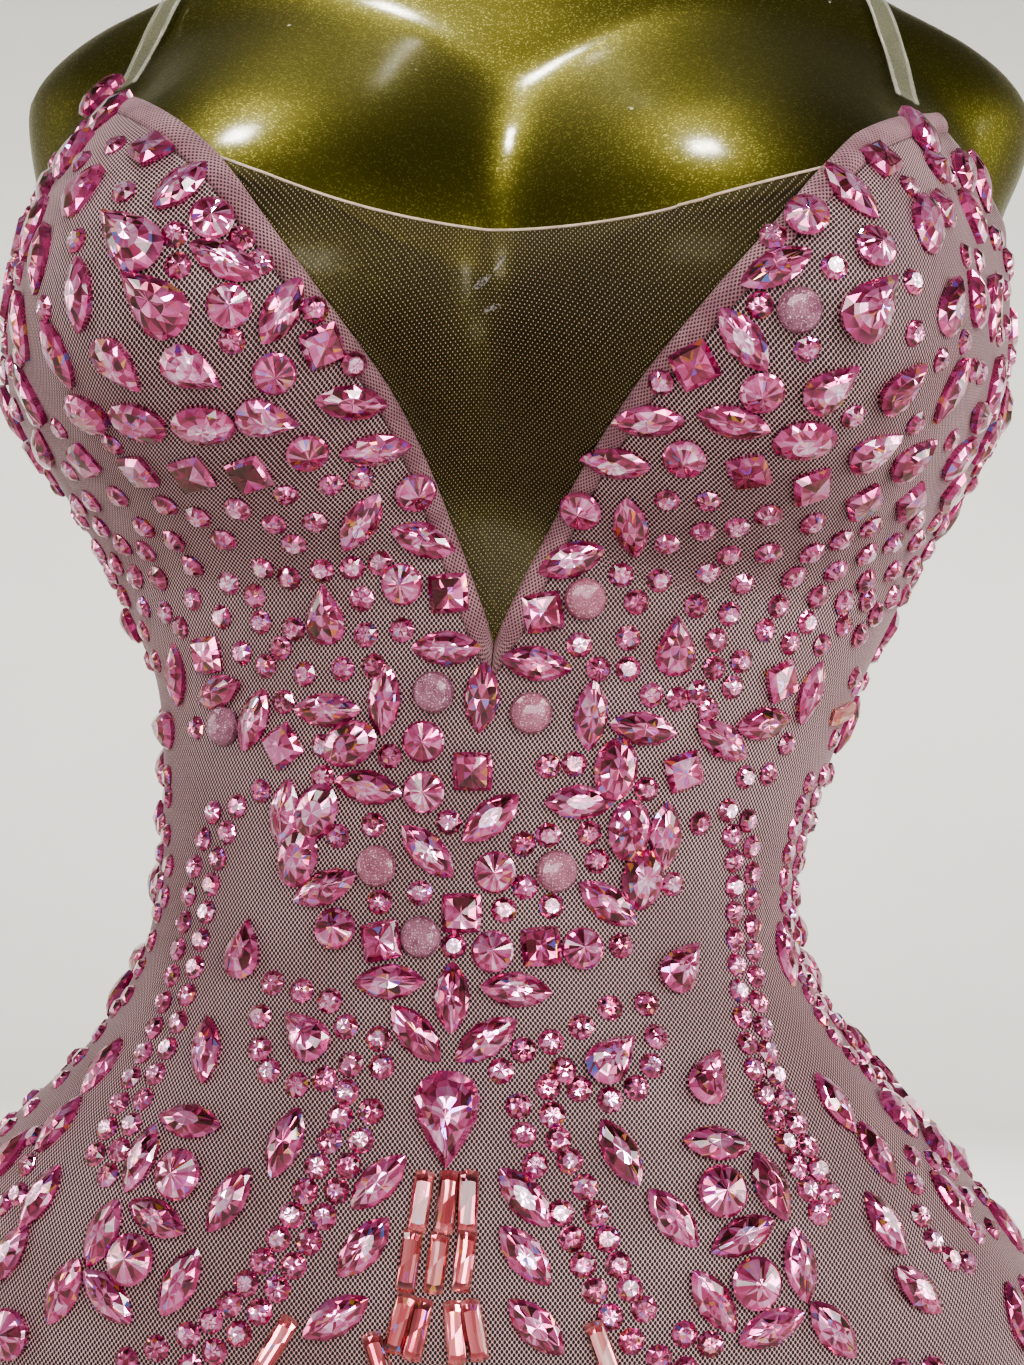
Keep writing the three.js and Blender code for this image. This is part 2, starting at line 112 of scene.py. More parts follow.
# The leg opening: (angle from the front, height)
LEG_LINE = [
    (0, GUSSET_Z),
    (GUSSET_ANGLE, GUSSET_Z),
    (30, 112),
    (45, 140),
    (62, 163),
    (78, 179),
    (90, 185),
    (104, 179),
    (122, 154),
    (140, 122),
    (180 - GUSSET_BACK, GUSSET_Z),
    (180, GUSSET_Z),
]


def clamp(value, low, high):
    return max(low, min(high, value))


def mix(a, b, share):
    return a + (b - a) * share


def straight(rows, z):
    """The straight line through a table's rows (height, value), from the top down."""
    for above, below in zip(rows, rows[1:]):
        if z >= below[0]:
            break
    return mix(below[1], above[1], clamp((z - below[0]) / (above[0] - below[0]), 0, 1))


def smooth(rows, z, column=1):
    """A smooth curve through one column of such a table."""
    last = len(rows) - 1
    at = clamp(z, rows[last][0], rows[0][0])
    i = next(k for k in range(1, last + 1) if rows[k][0] <= at)
    a, b, c, d = (rows[clamp(k, 0, last)] for k in (i - 2, i - 1, i, i + 1))
    h = b[0] - c[0]
    slope_b = h * (c[column] - a[column]) / (a[0] - c[0])
    slope_c = h * (d[column] - b[column]) / (b[0] - d[0])
    t = (b[0] - at) / h
    t2, t3 = t * t, t * t * t
    ends = (2 * t3 - 3 * t2 + 1) * b[column] + (3 * t2 - 2 * t3) * c[column]
    return ends + (t3 - 2 * t2 + t) * slope_b + (t3 - t2) * slope_c


@lru_cache(maxsize=None)
def section_at(z):
    bowl = math.sqrt(max(0, 1 - ((BOWL_Z - z) / BOWL_DEPTH) ** 2)) if z < BOWL_Z else 1
    half, front, back, sway, lean, square = (smooth(SECTIONS, z, k) for k in range(1, 7))
    return half * bowl, front * bowl, back * bowl, sway, lean + CENTRE_Y, square


def torso_radius(angle, z):
    half, front, back, _, _, square = section_at(z)
    across = abs(math.sin(angle)) / half
    along = abs(math.cos(angle)) / (front if math.cos(angle) > 0 else back)
    return (across**square + along**square) ** (-1 / square)


def thigh_radius(angle, z):
    if z > THIGH_LINE[0][0]:
        return 0
    _, _, _, sway, lean, _ = section_at(z)
    side = 1 if math.sin(angle) >= 0 else -1
    rx = straight(THIGH_LINE, z)
    ry = rx * THIGH_DEEPER
    dx, dy = math.sin(angle) / rx, -math.cos(angle) / ry
    ox, oy = (sway - side * THIGH_X) / rx, (lean - THIGH_Y - CENTRE_Y) / ry
    a = dx * dx + dy * dy
    b = ox * dx + oy * dy
    inside = b * b - a * (ox * ox + oy * oy - 1)
    return max(0, (-b + math.sqrt(inside)) / a) if inside >= 0 else 0


def bust_push(x, y, z, rounded=0.0):
    """How far the two domes push a point out; rounded fills the hollow where they meet."""
    side = math.hypot(x, rounded) - BUST["x"]
    up = z - BUST["z"]
    r2 = (side / BUST["across"]) ** 2 + (up / (BUST["above"] if up > 0 else BUST["below"])) ** 2
    if r2 >= 1 or y >= 0:
        return Vector((0, 0, 0))
    ahead = min(1, 4 * -y / math.hypot(x, y))
    push = BUST["rise"] * (1 - r2) ** BUST["power"] * ahead
    turn = math.radians(BUST["turn"])
    aside = math.sin(turn) * clamp(x / BUST["x"], -1, 1)
    return Vector((push * aside, -push * math.cos(turn), 0))


@lru_cache(maxsize=None)
def skin(angle_deg, z, with_thighs=True):
    """A point on the torso; with_thighs also rounds it over the thighs, as cloth does."""
    angle = math.radians(angle_deg + smooth(MIDDLE_LINE, z))
    _, _, _, sway, lean, _ = section_at(z)
    r = torso_radius(angle, z)
    if with_thighs:
        other = thigh_radius(angle, z)
        near = max(BLEND - abs(r - other), 0) / BLEND
        r = max(r, other) + near * near * BLEND / 4
    x, y = r * math.sin(angle), -r * math.cos(angle)
    return Vector((sway + x, lean + y, z)) + bust_push(x, y, z, 0.0 if with_thighs else HOLLOW)


def surface(angle_deg, z, offset):
    """A point at a distance outside the torso, measured square to it."""
    turn = skin(angle_deg + 0.5, z) - skin(angle_deg - 0.5, z)
    climb = skin(angle_deg, z + 1) - skin(angle_deg, z - 1)
    return skin(angle_deg, z) + turn.cross(climb).normalized() * offset


def neck_half(z):
    return smooth(NECKLINE, z)


def angle_across(x, z):
    """The angle at which the two edges of an opening are twice x apart."""
    low, high = 0.0, 89.0
    for _ in range(22):
        middle = (low + high) / 2
        if (skin(middle, z)[0] - skin(-middle, z)[0]) / 2 < x:
            low = middle
        else:
            high = middle
    return (low + high) / 2


def neck_edge(steps=44):
    """The V's edge from its tip to the cup's peak: (angle, z, inward angle, inward z) for each point."""
    heights = [mix(NECKLINE[-1][0], NECKLINE[0][0], 1 - (1 - k / steps) ** 1.35) for k in range(steps + 1)]
    points = [(angle_across(neck_half(z) - 0.3, z) if k else 0.0, z) for k, z in enumerate(heights)]
    edge = []
    for k, (angle, z) in enumerate(points):
        before, after = points[max(0, k - 1)], points[min(steps, k + 1)]
        arc = (skin(angle + 0.5, z) - skin(angle - 0.5, z)).length
        level, rise = (after[0] - before[0]) * arc, after[1] - before[1]
        length = math.hypot(level, rise)
        inward = (rise / length / arc, -level / length) if k else (0, -BAND_TIP / BAND_WIDTH)
        edge.append((angle, z, *inward))
    return edge


def moved(edge, distance):
    return edge[0] + edge[2] * distance, edge[1] + edge[3] * distance


def leg_height(angle):
    a = abs(angle)
    for low, high in zip(LEG_LINE, LEG_LINE[1:]):
        if a <= high[0]:
            break
    return mix(low[1], high[1], (a - low[0]) / (high[0] - low[0]))


NECK_EDGE = neck_edge()


# Shader graphs


class Field:
    """A socket's output, or a number, that adds Math nodes where it is used in an expression."""

    def __init__(self, graph, out):
        self.graph, self.out = graph, out

    def maths(self, operation, *others):
        return self.graph.make("ShaderNodeMath", {"operation": operation}, [self, *others])

    def __add__(self, other):
        return self.maths("ADD", other)

    def __radd__(self, other):
        return self.maths("ADD", other)

    def __sub__(self, other):
        return self.maths("SUBTRACT", other)

    def __rsub__(self, other):
        return self.graph.make("ShaderNodeMath", {"operation": "SUBTRACT"}, [other, self])

    def __mul__(self, other):
        return self.maths("MULTIPLY", other)

    def __rmul__(self, other):
        return self.maths("MULTIPLY", other)

    def __truediv__(self, other):
        return self.maths("DIVIDE", other)

    def __pow__(self, other):
        return self.maths("POWER", other)

    def __abs__(self):
        return self.maths("ABSOLUTE")

    def least(self, other):
        return self.maths("MINIMUM", other)

    def most(self, other):
        return self.maths("MAXIMUM", other)

    def part(self):
        """What is left after whole steps, from 0 to 1."""
        return self.maths("FRACT")

    def root(self):
        return self.maths("SQRT")

    def step(self, low, high):
        """0 below low, 1 above high, smooth between."""
        settings = {"interpolation_type": "SMOOTHSTEP"}
        inputs = {"Value": self, "From Min": low, "From Max": high}
        return self.graph.make("ShaderNodeMapRange", settings, inputs)


class Graph:
    """A material's node tree with one Principled shader."""

    def __init__(self, name):
        self.material = bpy.data.materials.new(name)
        self.material.use_nodes = True
        self.tree = self.material.node_tree
        self.shader = self.tree.nodes["Principled BSDF"]

    def make(self, kind, settings=None, inputs=None, output=0):
        node = self.tree.nodes.new(kind)
        for name, value in (settings or {}).items():
            if name == "stops":
                ramp = node.color_ramp.elements
                while len(ramp) < len(value):
                    ramp.new(0.5)
                for element, (at, colour) in zip(ramp, value):
                    element.position, element.color = at, (*colour, 1)
            else:
                setattr(node, name, value)
        pairs = enumerate(inputs) if isinstance(inputs, list) else (inputs or {}).items()
        for name, value in pairs:
            self.join(node.inputs[name], value)
        return Field(self, node.outputs[output])

    def join(self, socket, value):
        if isinstance(value, Field):
            self.tree.links.new(value.out, socket)
        elif value is not None:
            socket.default_value = value

    def look(self, **sockets):
        for name, value in sockets.items():
            self.join(self.shader.inputs[name.replace("_", " ")], value)
        return self.material

    def blend(self, share, a, b):
        """From colour a at 0 to colour b at 1."""
        colours = [c if isinstance(c, Field) else (*c, 1) for c in (a, b)]
        inputs = {0: share, 6: colours[0], 7: colours[1]}
        return self.make("ShaderNodeMix", {"data_type": "RGBA"}, inputs, output=2)

    def own(self):
        return self.make("ShaderNodeTexCoord", output=3)

    def cut(self, layer="cut"):
        """The piece's place on its flat cut, in millimetres."""
        uv = self.make("ShaderNodeUVMap", {"uv_map": layer})
        parts = self.tree.nodes.new("ShaderNodeSeparateXYZ")
        self.join(parts.inputs[0], uv)
        return Field(self, parts.outputs[0]), Field(self, parts.outputs[1])

    def noise(self, size, detail=2.0, place=None):
        inputs = {"Vector": place or self.own(), "Scale": 1 / (size * MM), "Detail": detail}
        return self.make("ShaderNodeTexNoise", None, inputs)

    def bump(self, height, strength, distance, over=None):
        inputs = {"Height": height, "Strength": strength, "Distance": distance * MM, "Normal": over}
        return self.make("ShaderNodeBump", None, inputs)


def lattice(u, v, pitch, row, wide, tall):
    """How far a place is from the nearest hole's middle: 1 on the hole's rim. Every other row is half a
    pitch over."""
    found = None
    for shift in (0.0, 0.5):
        du = ((u / pitch + shift).part() - 0.5) * (pitch * 2 / wide)
        dv = ((v / (row * 2) + shift).part() - 0.5) * (row * 4 / tall)
        distance = (du * du + dv * dv).root()
        found = found.least(distance) if found else distance
    return found


# Materials

YARN = (0.5, 0.29, 0.31)
YARN_LIGHT = (0.66, 0.425, 0.445)
PAINTED_SHADE_IN_HOLES = (0.016, 0.01, 0.007)  # painted shade: the torso in its shade behind the opaque mesh, painted into the holes


def power_mesh():
    """Knitted mesh with a hole in each cell; the holes are painted near black, as painted shade for the torso
    behind the yarn.
    """
    g = Graph("power mesh")
    u, v = g.cut()
    wander = g.noise(40.0, 0.0) * 0.5
    distance = lattice(u + wander, v, 1.32, 0.84, 0.86, 1.16)
    yarn = distance.step(0.8, 1.08)
    tone = g.noise(70.0, 2.0).step(0.35, 0.65)
    fleck = g.noise(0.35, 1.0).step(0.3, 0.75)
    colour = g.blend(tone, YARN, YARN_LIGHT)
    colour = g.blend(fleck * 0.3, colour, (0.84, 0.62, 0.63))
    # Painted shade: the holes are painted near black, for the shaded torso behind the opaque mesh
    colour = g.blend(yarn, PAINTED_SHADE_IN_HOLES, colour)
    g.look(Base_Color=colour, Roughness=0.62, Normal=g.bump(yarn * 0.8, 0.6, 0.15))
    return g.look(Sheen_Weight=0.3, Sheen_Roughness=0.4, Sheen_Tint=(1.0, 0.8, 0.86, 1))


def folded_hem():
    """Two or three layers of the mesh: the holes are closed, and show as dimples."""
    g = Graph("folded hem")
    u, v = g.cut()
    dimple_and_shade = lattice(u, v, 1.1, 0.8, 0.56, 0.8).step(0.5, 1.2)
    tone = g.noise(9.0, 3.0).step(0.3, 0.7)
    colour = g.blend(tone, (0.3, 0.15, 0.175), (0.41, 0.23, 0.255))
    # Painted shade: the dimples' middles are painted nearly black, as shade in the recesses
    colour = g.blend(dimple_and_shade, (0.045, 0.016, 0.02), colour)
    height = dimple_and_shade * 0.7 + g.noise(2.5, 2.0) * 1.2
    g.look(Base_Color=colour, Roughness=0.65, Normal=g.bump(height, 0.9, 0.35))
    return g.look(Sheen_Weight=0.3, Sheen_Roughness=0.4, Sheen_Tint=(1.0, 0.82, 0.88, 1))


def fine_net():
    """Skin-coloured net of single yarns in diamonds."""
    g = Graph("fine net")
    u, v = g.cut()
    distance = lattice(u, v, 1.3, 0.9, 1.16, 1.62)
    yarn = distance.step(0.82, 1.0)
    colour = g.blend(g.noise(30.0).step(0.35, 0.65), (0.43, 0.33, 0.2), (0.54, 0.42, 0.27))
    # Painted shade: the holes are a dark brown at 0.3 alpha, which darkens the torso seen through them
    colour = g.blend(yarn, (0.035, 0.02, 0.009), colour)
    return g.look(Base_Color=colour, Roughness=0.6, Alpha=yarn * 0.62 + 0.3, Normal=g.bump(yarn, 0.4, 0.1))


def rolled_edge():
    """The net's yarn, rolled into a thin cord."""
    g = Graph("rolled edge")
    twist = g.noise(1.5, 2.0)
    colour = g.blend(twist, (0.55, 0.42, 0.33), (0.74, 0.6, 0.5))
    return g.look(Base_Color=colour, Roughness=0.6, Normal=g.bump(twist, 0.6, 0.3))


# Chips in the lacquer, seen through the net: middle across and up, half length, half width, tilt in degrees
CHIPS = [(-0.2, 513.5, 3.8, 1.3, 42), (4.6, 519.0, 3.2, 0.6, 55), (2.9, 506.2, 3.3, 1.0, 22)]


def chipped(g, place):
    """1 where the lacquer is chipped off the chest."""
    parts = g.tree.nodes.new("ShaderNodeSeparateXYZ")
    g.join(parts.inputs[0], place)
    across, deep, up = (Field(g, out) / MM for out in parts.outputs)
    ragged = g.noise(1.6, 3.0, place) * 1.2
    found = ragged * 0
    for x, z, half_long, half_wide, tilt in CHIPS:
        lean, rise = math.cos(math.radians(tilt)), math.sin(math.radians(tilt))
        along = ((across - x) * lean + (up - z) * rise) / half_long
        over = ((up - z) * lean - (across - x) * rise) / half_wide
        found = found.most(1.5 - ragged - (along * along + over * over).root())
    return found.step(0.0, 0.15) * deep.maths("LESS_THAN", 0.0)


def gold_flake():
    """Olive gold lacquer with metal flake under a clear coat."""
    g = Graph("gold flake")
    place = g.own()
    flakes = g.tree.nodes.new("ShaderNodeTexVoronoi")
    for name, value in {"Vector": place, "Scale": 1 / (0.4 * MM), "Randomness": 1.0}.items():
        g.join(flakes.inputs[name], value)
    parts = g.tree.nodes.new("ShaderNodeSeparateColor")
    g.join(parts.inputs[0], Field(g, flakes.outputs["Color"]))
    glint = Field(g, parts.outputs[0])
    bright = glint.step(0.75, 1.0)
    cloudy = g.noise(60.0, 2.0).step(0.3, 0.7)
    colour = g.blend(cloudy, (0.094, 0.085, 0.012), (0.12, 0.11, 0.018))
    colour = g.blend(bright * 0.5, colour, (0.38, 0.35, 0.11))
    rough = 0.5 - glint * 0.1 + g.noise(18.0, 4.0) * 0.04
    # Small scrapes where the lacquer is gone
    shifted = g.make("ShaderNodeMapping", None, {"Vector": place, "Location": (0.013, 0.0, 0.031)})
    worn = g.noise(7.0, 5.0, shifted).step(0.745, 0.765)
    colour = g.blend(worn, colour, (0.6, 0.58, 0.52))
    # The chips are bare metal filler, mottled
    chip = chipped(g, place)
    bare = g.blend(g.noise(0.8, 2.0).step(0.4, 0.6), (0.1, 0.09, 0.08), (0.75, 0.73, 0.7))
    colour = g.blend(chip, colour, bare)
    g.look(Base_Color=colour, Roughness=rough + worn * 0.2, Metallic=1 - chip * 0.7)
    g.look(Normal=g.bump(glint, 0.1, 0.08))
    return g.look(Coat_Weight=0.34 - chip * 0.34, Coat_Roughness=0.15, Coat_IOR=1.5)


def clear_strap():
    """Clear elastic, milky and scuffed, brighter along its two edges."""
    g = Graph("clear strap")
    u, v = g.cut()
    rim = abs(u / (STRAP_WIDTH / 2)).step(0.78, 0.95)
    haze = g.noise(6.0, 4.0)
    colour = g.blend(rim, (0.46, 0.46, 0.34), (0.68, 0.68, 0.58))
    g.look(Base_Color=colour, Roughness=0.16 + haze * 0.2, Alpha=0.16 + haze * 0.14 + rim * 0.22)
    return g.look(Normal=g.bump(haze, 0.3, 0.4), IOR=1.5)


MESH = power_mesh()
HEM = folded_hem()
NET = fine_net()
EDGE = rolled_edge()
GOLD = gold_flake()
STRAP = clear_strap()


# Building


def finished(bm, name, material, faces_smooth=True):
    """Makes an object of a bmesh in millimetres."""
    bmesh.ops.scale(bm, vec=(MM, MM, MM), verts=bm.verts)
    data = bpy.data.meshes.new(name)
    bm.to_mesh(data)
    bm.free()
    for face in data.polygons:
        face.use_smooth = faces_smooth
    for one in material if isinstance(material, list) else [material]:
        data.materials.append(one)
    piece = bpy.data.objects.new(name, data)
    bpy.context.scene.collection.objects.link(piece)
    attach(piece, "root")
    return piece


def cloth(name, columns, rows, place, material):
    """A closed sheet with one vertex for each (column, row) on both of its sides. place(i, j) gives the
    point on the inner side, the point on the outer side, and the place on the flat cut."""
    bm = bmesh.new()
    bmesh.ops.create_grid(bm, x_segments=columns, y_segments=rows, size=0.5)
    layer = bm.loops.layers.uv.new("cut")
    spots = {vert: (round((vert.co.x + 0.5) * columns), round((vert.co.y + 0.5) * rows)) for vert in bm.verts}
    copies = bmesh.ops.duplicate(bm, geom=bm.verts[:] + bm.edges[:] + bm.faces[:])["vert_map"]
    flat = {}
    for vert, (i, j) in spots.items():
        other = copies[vert]
        vert.co, other.co, cut = place(i, j)
        flat[vert] = flat[other] = cut
    rims = [edge for edge in bm.edges if len(edge.link_faces) == 1]
    bmesh.ops.bridge_loops(bm, edges=rims)
    bmesh.ops.recalc_face_normals(bm, faces=bm.faces)
    for face in bm.faces:
        for loop in face.loops:
            loop[layer].uv = flat[loop.vert]
    return finished(bm, name, material)


# Lengths along the cloth, for its place on the flat cut: round each level, and up each line
LEVEL_STEP, TURN_STEP = 5, 2
LEVELS = list(range(80, 620, LEVEL_STEP))
TURNS = list(range(0, 182, TURN_STEP))
WAIST_Z = 345  # the cut's heights are measured from here


def running(points):
    """The length along a line of points up to each of them."""
    sums = [0.0]
    for a, b in zip(points, points[1:]):
        sums.append(sums[-1] + (b - a).length)
    return sums


SIDES = (1, -1)
ROUND = {side: [running([skin(float(side * a), float(z)) for a in TURNS]) for z in LEVELS] for side in SIDES}
UP = {side: [running([skin(float(side * a), float(z)) for z in LEVELS]) for a in TURNS] for side in SIDES}


def looked_up(table, first, second):
    """The value between a table's rows and columns."""
    i, j = int(clamp(first, 0, len(table) - 2)), int(clamp(second, 0, len(table[0]) - 2))
    s, t = first - i, second - j
    return mix(mix(table[i][j], table[i][j + 1], t), mix(table[i + 1][j], table[i + 1][j + 1], t), s)


def on_cut(angle, z):
    """A point's place on the cut, measured round the torso from its middle line and up from the waist."""
    side = 1 if angle >= 0 else -1
    turn, level = abs(angle) / TURN_STEP, (z - LEVELS[0]) / LEVEL_STEP
    waist = (WAIST_Z - LEVELS[0]) / LEVEL_STEP
    u = looked_up(ROUND[side], level, turn)
    v = looked_up(UP[side], turn, level) - looked_up(UP[side], turn, waist)
    return u * side, v


def eased(share):
    """Closer rows at both edges of a panel."""
    return share - 0.35 * math.sin(2 * math.pi * share) / (2 * math.pi)


def panel(name, columns, rows, cut):
    """A mesh panel; columns are (angle, top, low), and cut(angle, z) is a point's place on the flat cut."""

    def place(i, j):
        angle, top, low = columns[i]
        z = mix(low, top, eased(j / rows))
        return surface(angle, z, CLEAR), surface(angle, z, CLEAR + THIN), cut(angle, z)

    return cloth(name, len(columns) - 1, rows, place, MESH)


FRONT_ROWS, BACK_ROWS = 150, 120


def front_columns():
    """The front panel's columns from side to side: (angle, top, low)."""
    columns = [moved(edge, BAND_WIDTH + 0.1) for edge in NECK_EDGE]
    peak = columns[-1]
    beyond = 22
    for k in range(1, beyond + 1):
        share = k / beyond
        height = mix(peak[1], SIDE_TOP, math.sin(math.radians(90 * share)))
        columns.append((mix(peak[0], 90 - SEAM_TURN, share), height))
    half = [(angle, top, leg_height(angle)) for angle, top in columns]
    return [(-angle, top, low) for angle, top, low in reversed(half)] + half[1:]


def back_columns(steps=90):
    """The back panel's columns, which also dip between the shoulder blades."""
    columns = []
    for k in range(steps + 1):
        angle = mix(90 + SEAM_TURN, 270 - SEAM_TURN, k / steps)
        share = math.sin(math.radians(angle - 90)) ** 1.4
        folded = 360 - angle if angle > 180 else angle
        columns.append((angle, mix(SIDE_TOP, BACK_TOP, share), leg_height(folded)))
    return columns


def make_front():
    piece = panel("front_mesh", front_columns(), FRONT_ROWS, on_cut)
    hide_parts("front_panel")
    return piece


def make_back():
    def from_back_middle(angle, z):
        signed = angle - 360 if angle > 180 else angle
        u, v = on_cut(signed, z)
        side = 1 if signed > 0 else -1
        return looked_up(ROUND[side], (z - LEVELS[0]) / LEVEL_STEP, 180 / TURN_STEP) * side - u, v

    piece = panel("back_mesh", back_columns(), BACK_ROWS, from_back_middle)
    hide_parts("back_panel")
    return piece


def squared_out(points, i, j):
    """The way out of a grid of points at one of them."""
    last, side = len(points) - 1, len(points[0]) - 1
    along = points[min(last, i + 1)][j] - points[max(0, i - 1)][j]
    across = points[i][min(side, j + 1)] - points[i][max(0, j - 1)]
    return across.cross(along).normalized()


def sheet_on(name, points, low, high, material, flip=1):
    """A closed sheet between two distances outside a grid of points; its cut is measured along the grid."""
    middle = len(points[0]) // 2
    ups = [running([row[j] for row in points]) for j in range(len(points[0]))]
    rounds = [running(row) for row in points]

    def place(i, j):
        out = squared_out(points, j, i) * flip
        p = points[j][i]
        return p + out * low, p + out * high, (rounds[j][i] - rounds[j][middle], ups[i][j])

    return cloth(name, len(points[0]) - 1, len(points) - 1, place, material)


def make_gusset():
    """The gusset lies on the torso's rounded underside, between the two panels' lowest edges."""
    across, along = 16, 30
    half, front, back, sway, lean, square = section_at(float(BOWL_Z))
    seam = GUSSET_Z - SEAM

    def bowl(p):
        depth = front if p.y < lean else back
        power = abs((p.x - sway) / half) ** square + abs((p.y - lean) / depth) ** square
        return BOWL_Z - BOWL_DEPTH * math.sqrt(1 - power ** (2 / square))

    points = []
    for i in range(along + 1):
        row = []
        for j in range(across + 1):
            share = 2 * j / across - 1
            p = skin(180 - GUSSET_BACK * share, seam).lerp(skin(GUSSET_ANGLE * share, seam), i / along)
            row.append(Vector((p.x, p.y, bowl(p))))
        points.append(row)
    piece = sheet_on("gusset_mesh", points, CLEAR, CLEAR + THIN, MESH)
    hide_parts("gusset")


EDGE_OFF, EDGE_THICK = CLEAR + 0.12, 0.45  # the rolled edge's distance from the torso, and its radius


def make_net():
    """The net that fills the V: it follows the torso, and is drawn taut over the hollow between the domes."""
    across = 60
    sides = [edge for edge in NECK_EDGE[1:] if edge[1] < NET_END - 1.5]
    sides.append((angle_across(neck_half(NET_END), float(NET_END)), NET_END, *NECK_EDGE[len(sides) + 1][2:]))
    sides.insert(0, (angle_across(neck_half(NET_LOW), NET_LOW), NET_LOW, *sides[0][2:]))
    points = []
    for i, edge in enumerate(sides):
        end = moved(edge, -NET_UNDER)
        dip = (NET_END - NET_MIDDLE) * (i / (len(sides) - 1)) ** 2
        row = []
        for j in range(across + 1):
            share = 2 * j / across - 1
            on_skin = skin(end[0] * share, end[1] - dip * (1 - share * share))
            bridge = skin(-end[0], end[1]).lerp(skin(end[0], end[1]), (share + 1) / 2)
            bridge.z = on_skin.z
            taut = NET_TAUT * (1 - share**4) ** 1.5 if on_skin.y > bridge.y else 0
            row.append(on_skin.lerp(bridge, taut))
        points.append(row)
    piece = sheet_on("fine_net_insert", points, CLEAR, CLEAR + NET_THIN, NET)
    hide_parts("net_insert")
    last = len(points) - 1
    edge_line = [p + squared_out(points, last, j) * EDGE_OFF for j, p in enumerate(points[-1])]
    rolled = make_rolled_edge(edge_line)


def make_rolled_edge(line):
    """The net's rolled top edge, a round cord along its last row."""
    bm = bmesh.new()
    ring = bmesh.ops.create_circle(bm, cap_ends=True, segments=8, radius=EDGE_THICK)["verts"]
    face = ring[0].link_faces[0]
    circle = [vert.co.copy() for vert in face.verts]
    for k, p in enumerate(line):
        way = line[min(k + 1, len(line) - 1)] - line[max(k - 1, 0)]
        turned = way.to_track_quat("Z", "Y")
        if k:
            grown = bmesh.ops.extrude_face_region(bm, geom=[face])["geom"]
            face = next(item for item in grown if isinstance(item, bmesh.types.BMFace))
        for vert, spot in zip(face.verts, circle):
            vert.co = p + turned @ spot
    bmesh.ops.recalc_face_normals(bm, faces=bm.faces)
    piece = finished(bm, "net_rolled_edge", EDGE)
    return piece


def make_band(side, name, node):
    """The folded hem along one side of the V, with the slight waves that stitching leaves."""
    across = 8
    points = []
    for k, edge in enumerate(NECK_EDGE):
        row = []
        for j in range(across + 1):
            angle, z = moved(edge, BAND_WIDTH * (1 - j / across))
            row.append((max(0.1, angle) * side, z))
        points.append(row)
    length = running([skin(row[0][0], row[0][1]) for row in points])

    def place(i, j):
        angle, z = points[j][i]
        share = i / across
        crown = math.sin(math.pi * clamp(share * 1.04 - 0.02, 0, 1)) ** 0.5
        wave = 0.25 * math.sin(length[j] / 4.1) + 0.2 * math.sin(length[j] / 7.3 + 1)
        high = CLEAR + 0.5 + (BAND_WALL - 0.7 + wave) * crown
        return surface(angle, z, CLEAR), surface(angle, z, high), (share * BAND_WIDTH, length[j])

    piece = cloth(name, across, len(points) - 1, place, HEM)
    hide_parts(node)
    return piece


def inside_torso(p):
    """Is a point inside the torso's skin? The domes' push is taken off it first."""
    _, _, _, sway, lean, _ = section_at(p.z)
    x, y = p.x - sway, p.y - lean
    push = Vector((0, 0, 0))
    for _ in range(6):
        push = bust_push(x - push.x, y - push.y, p.z)
    x, y = x - push.x, y - push.y
    return math.hypot(x, y) < torso_radius(math.atan2(x, -y), p.z)


# The strap's middle line on the left and right: (turn from the front over the shoulder, distance across)
STRAP_LINE = [(150, 92), (90, 104), (40, 114), (6.5, 115)]
STRAP_END_X, STRAP_END_RIGHT, STRAP_END_LEFT = 66, 211, 214.6


def make_strap(side, end, name, node):
    """A strap over the shoulder; rays from a hub inside the torso find the skin under it."""
    rows, hub = 70, (CENTRE_Y, 572)
    line = [(end, STRAP_END_X), *STRAP_LINE]
    points = []
    for i in range(rows + 1):
        turn = mix(line[-1][0], end, i / rows)
        row = []
        for share in (-0.5, -0.25, 0, 0.25, 0.5):
            x = section_at(float(NECKLINE[0][0]))[3] + side * (smooth(line, turn) + share * STRAP_WIDTH)
            near, far = 0.0, 160.0
            dy, dz = -math.cos(math.radians(turn)), math.sin(math.radians(turn))
            for _ in range(16):
                t = (near + far) / 2
                if inside_torso(Vector((x, hub[0] + t * dy, hub[1] + t * dz))):
                    near = t
                else:
                    far = t
            row.append(Vector((x, hub[0] + near * dy, hub[1] + near * dz)))
        points.append(row)
    piece = sheet_on(name, points, STRAP_INNER, STRAP_OUTER, STRAP, flip=side)
    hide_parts(node)


FORM_VOXEL = 3.3
FORM_FOOT = 1.2  # what lies lower than this is pressed flat onto the floor


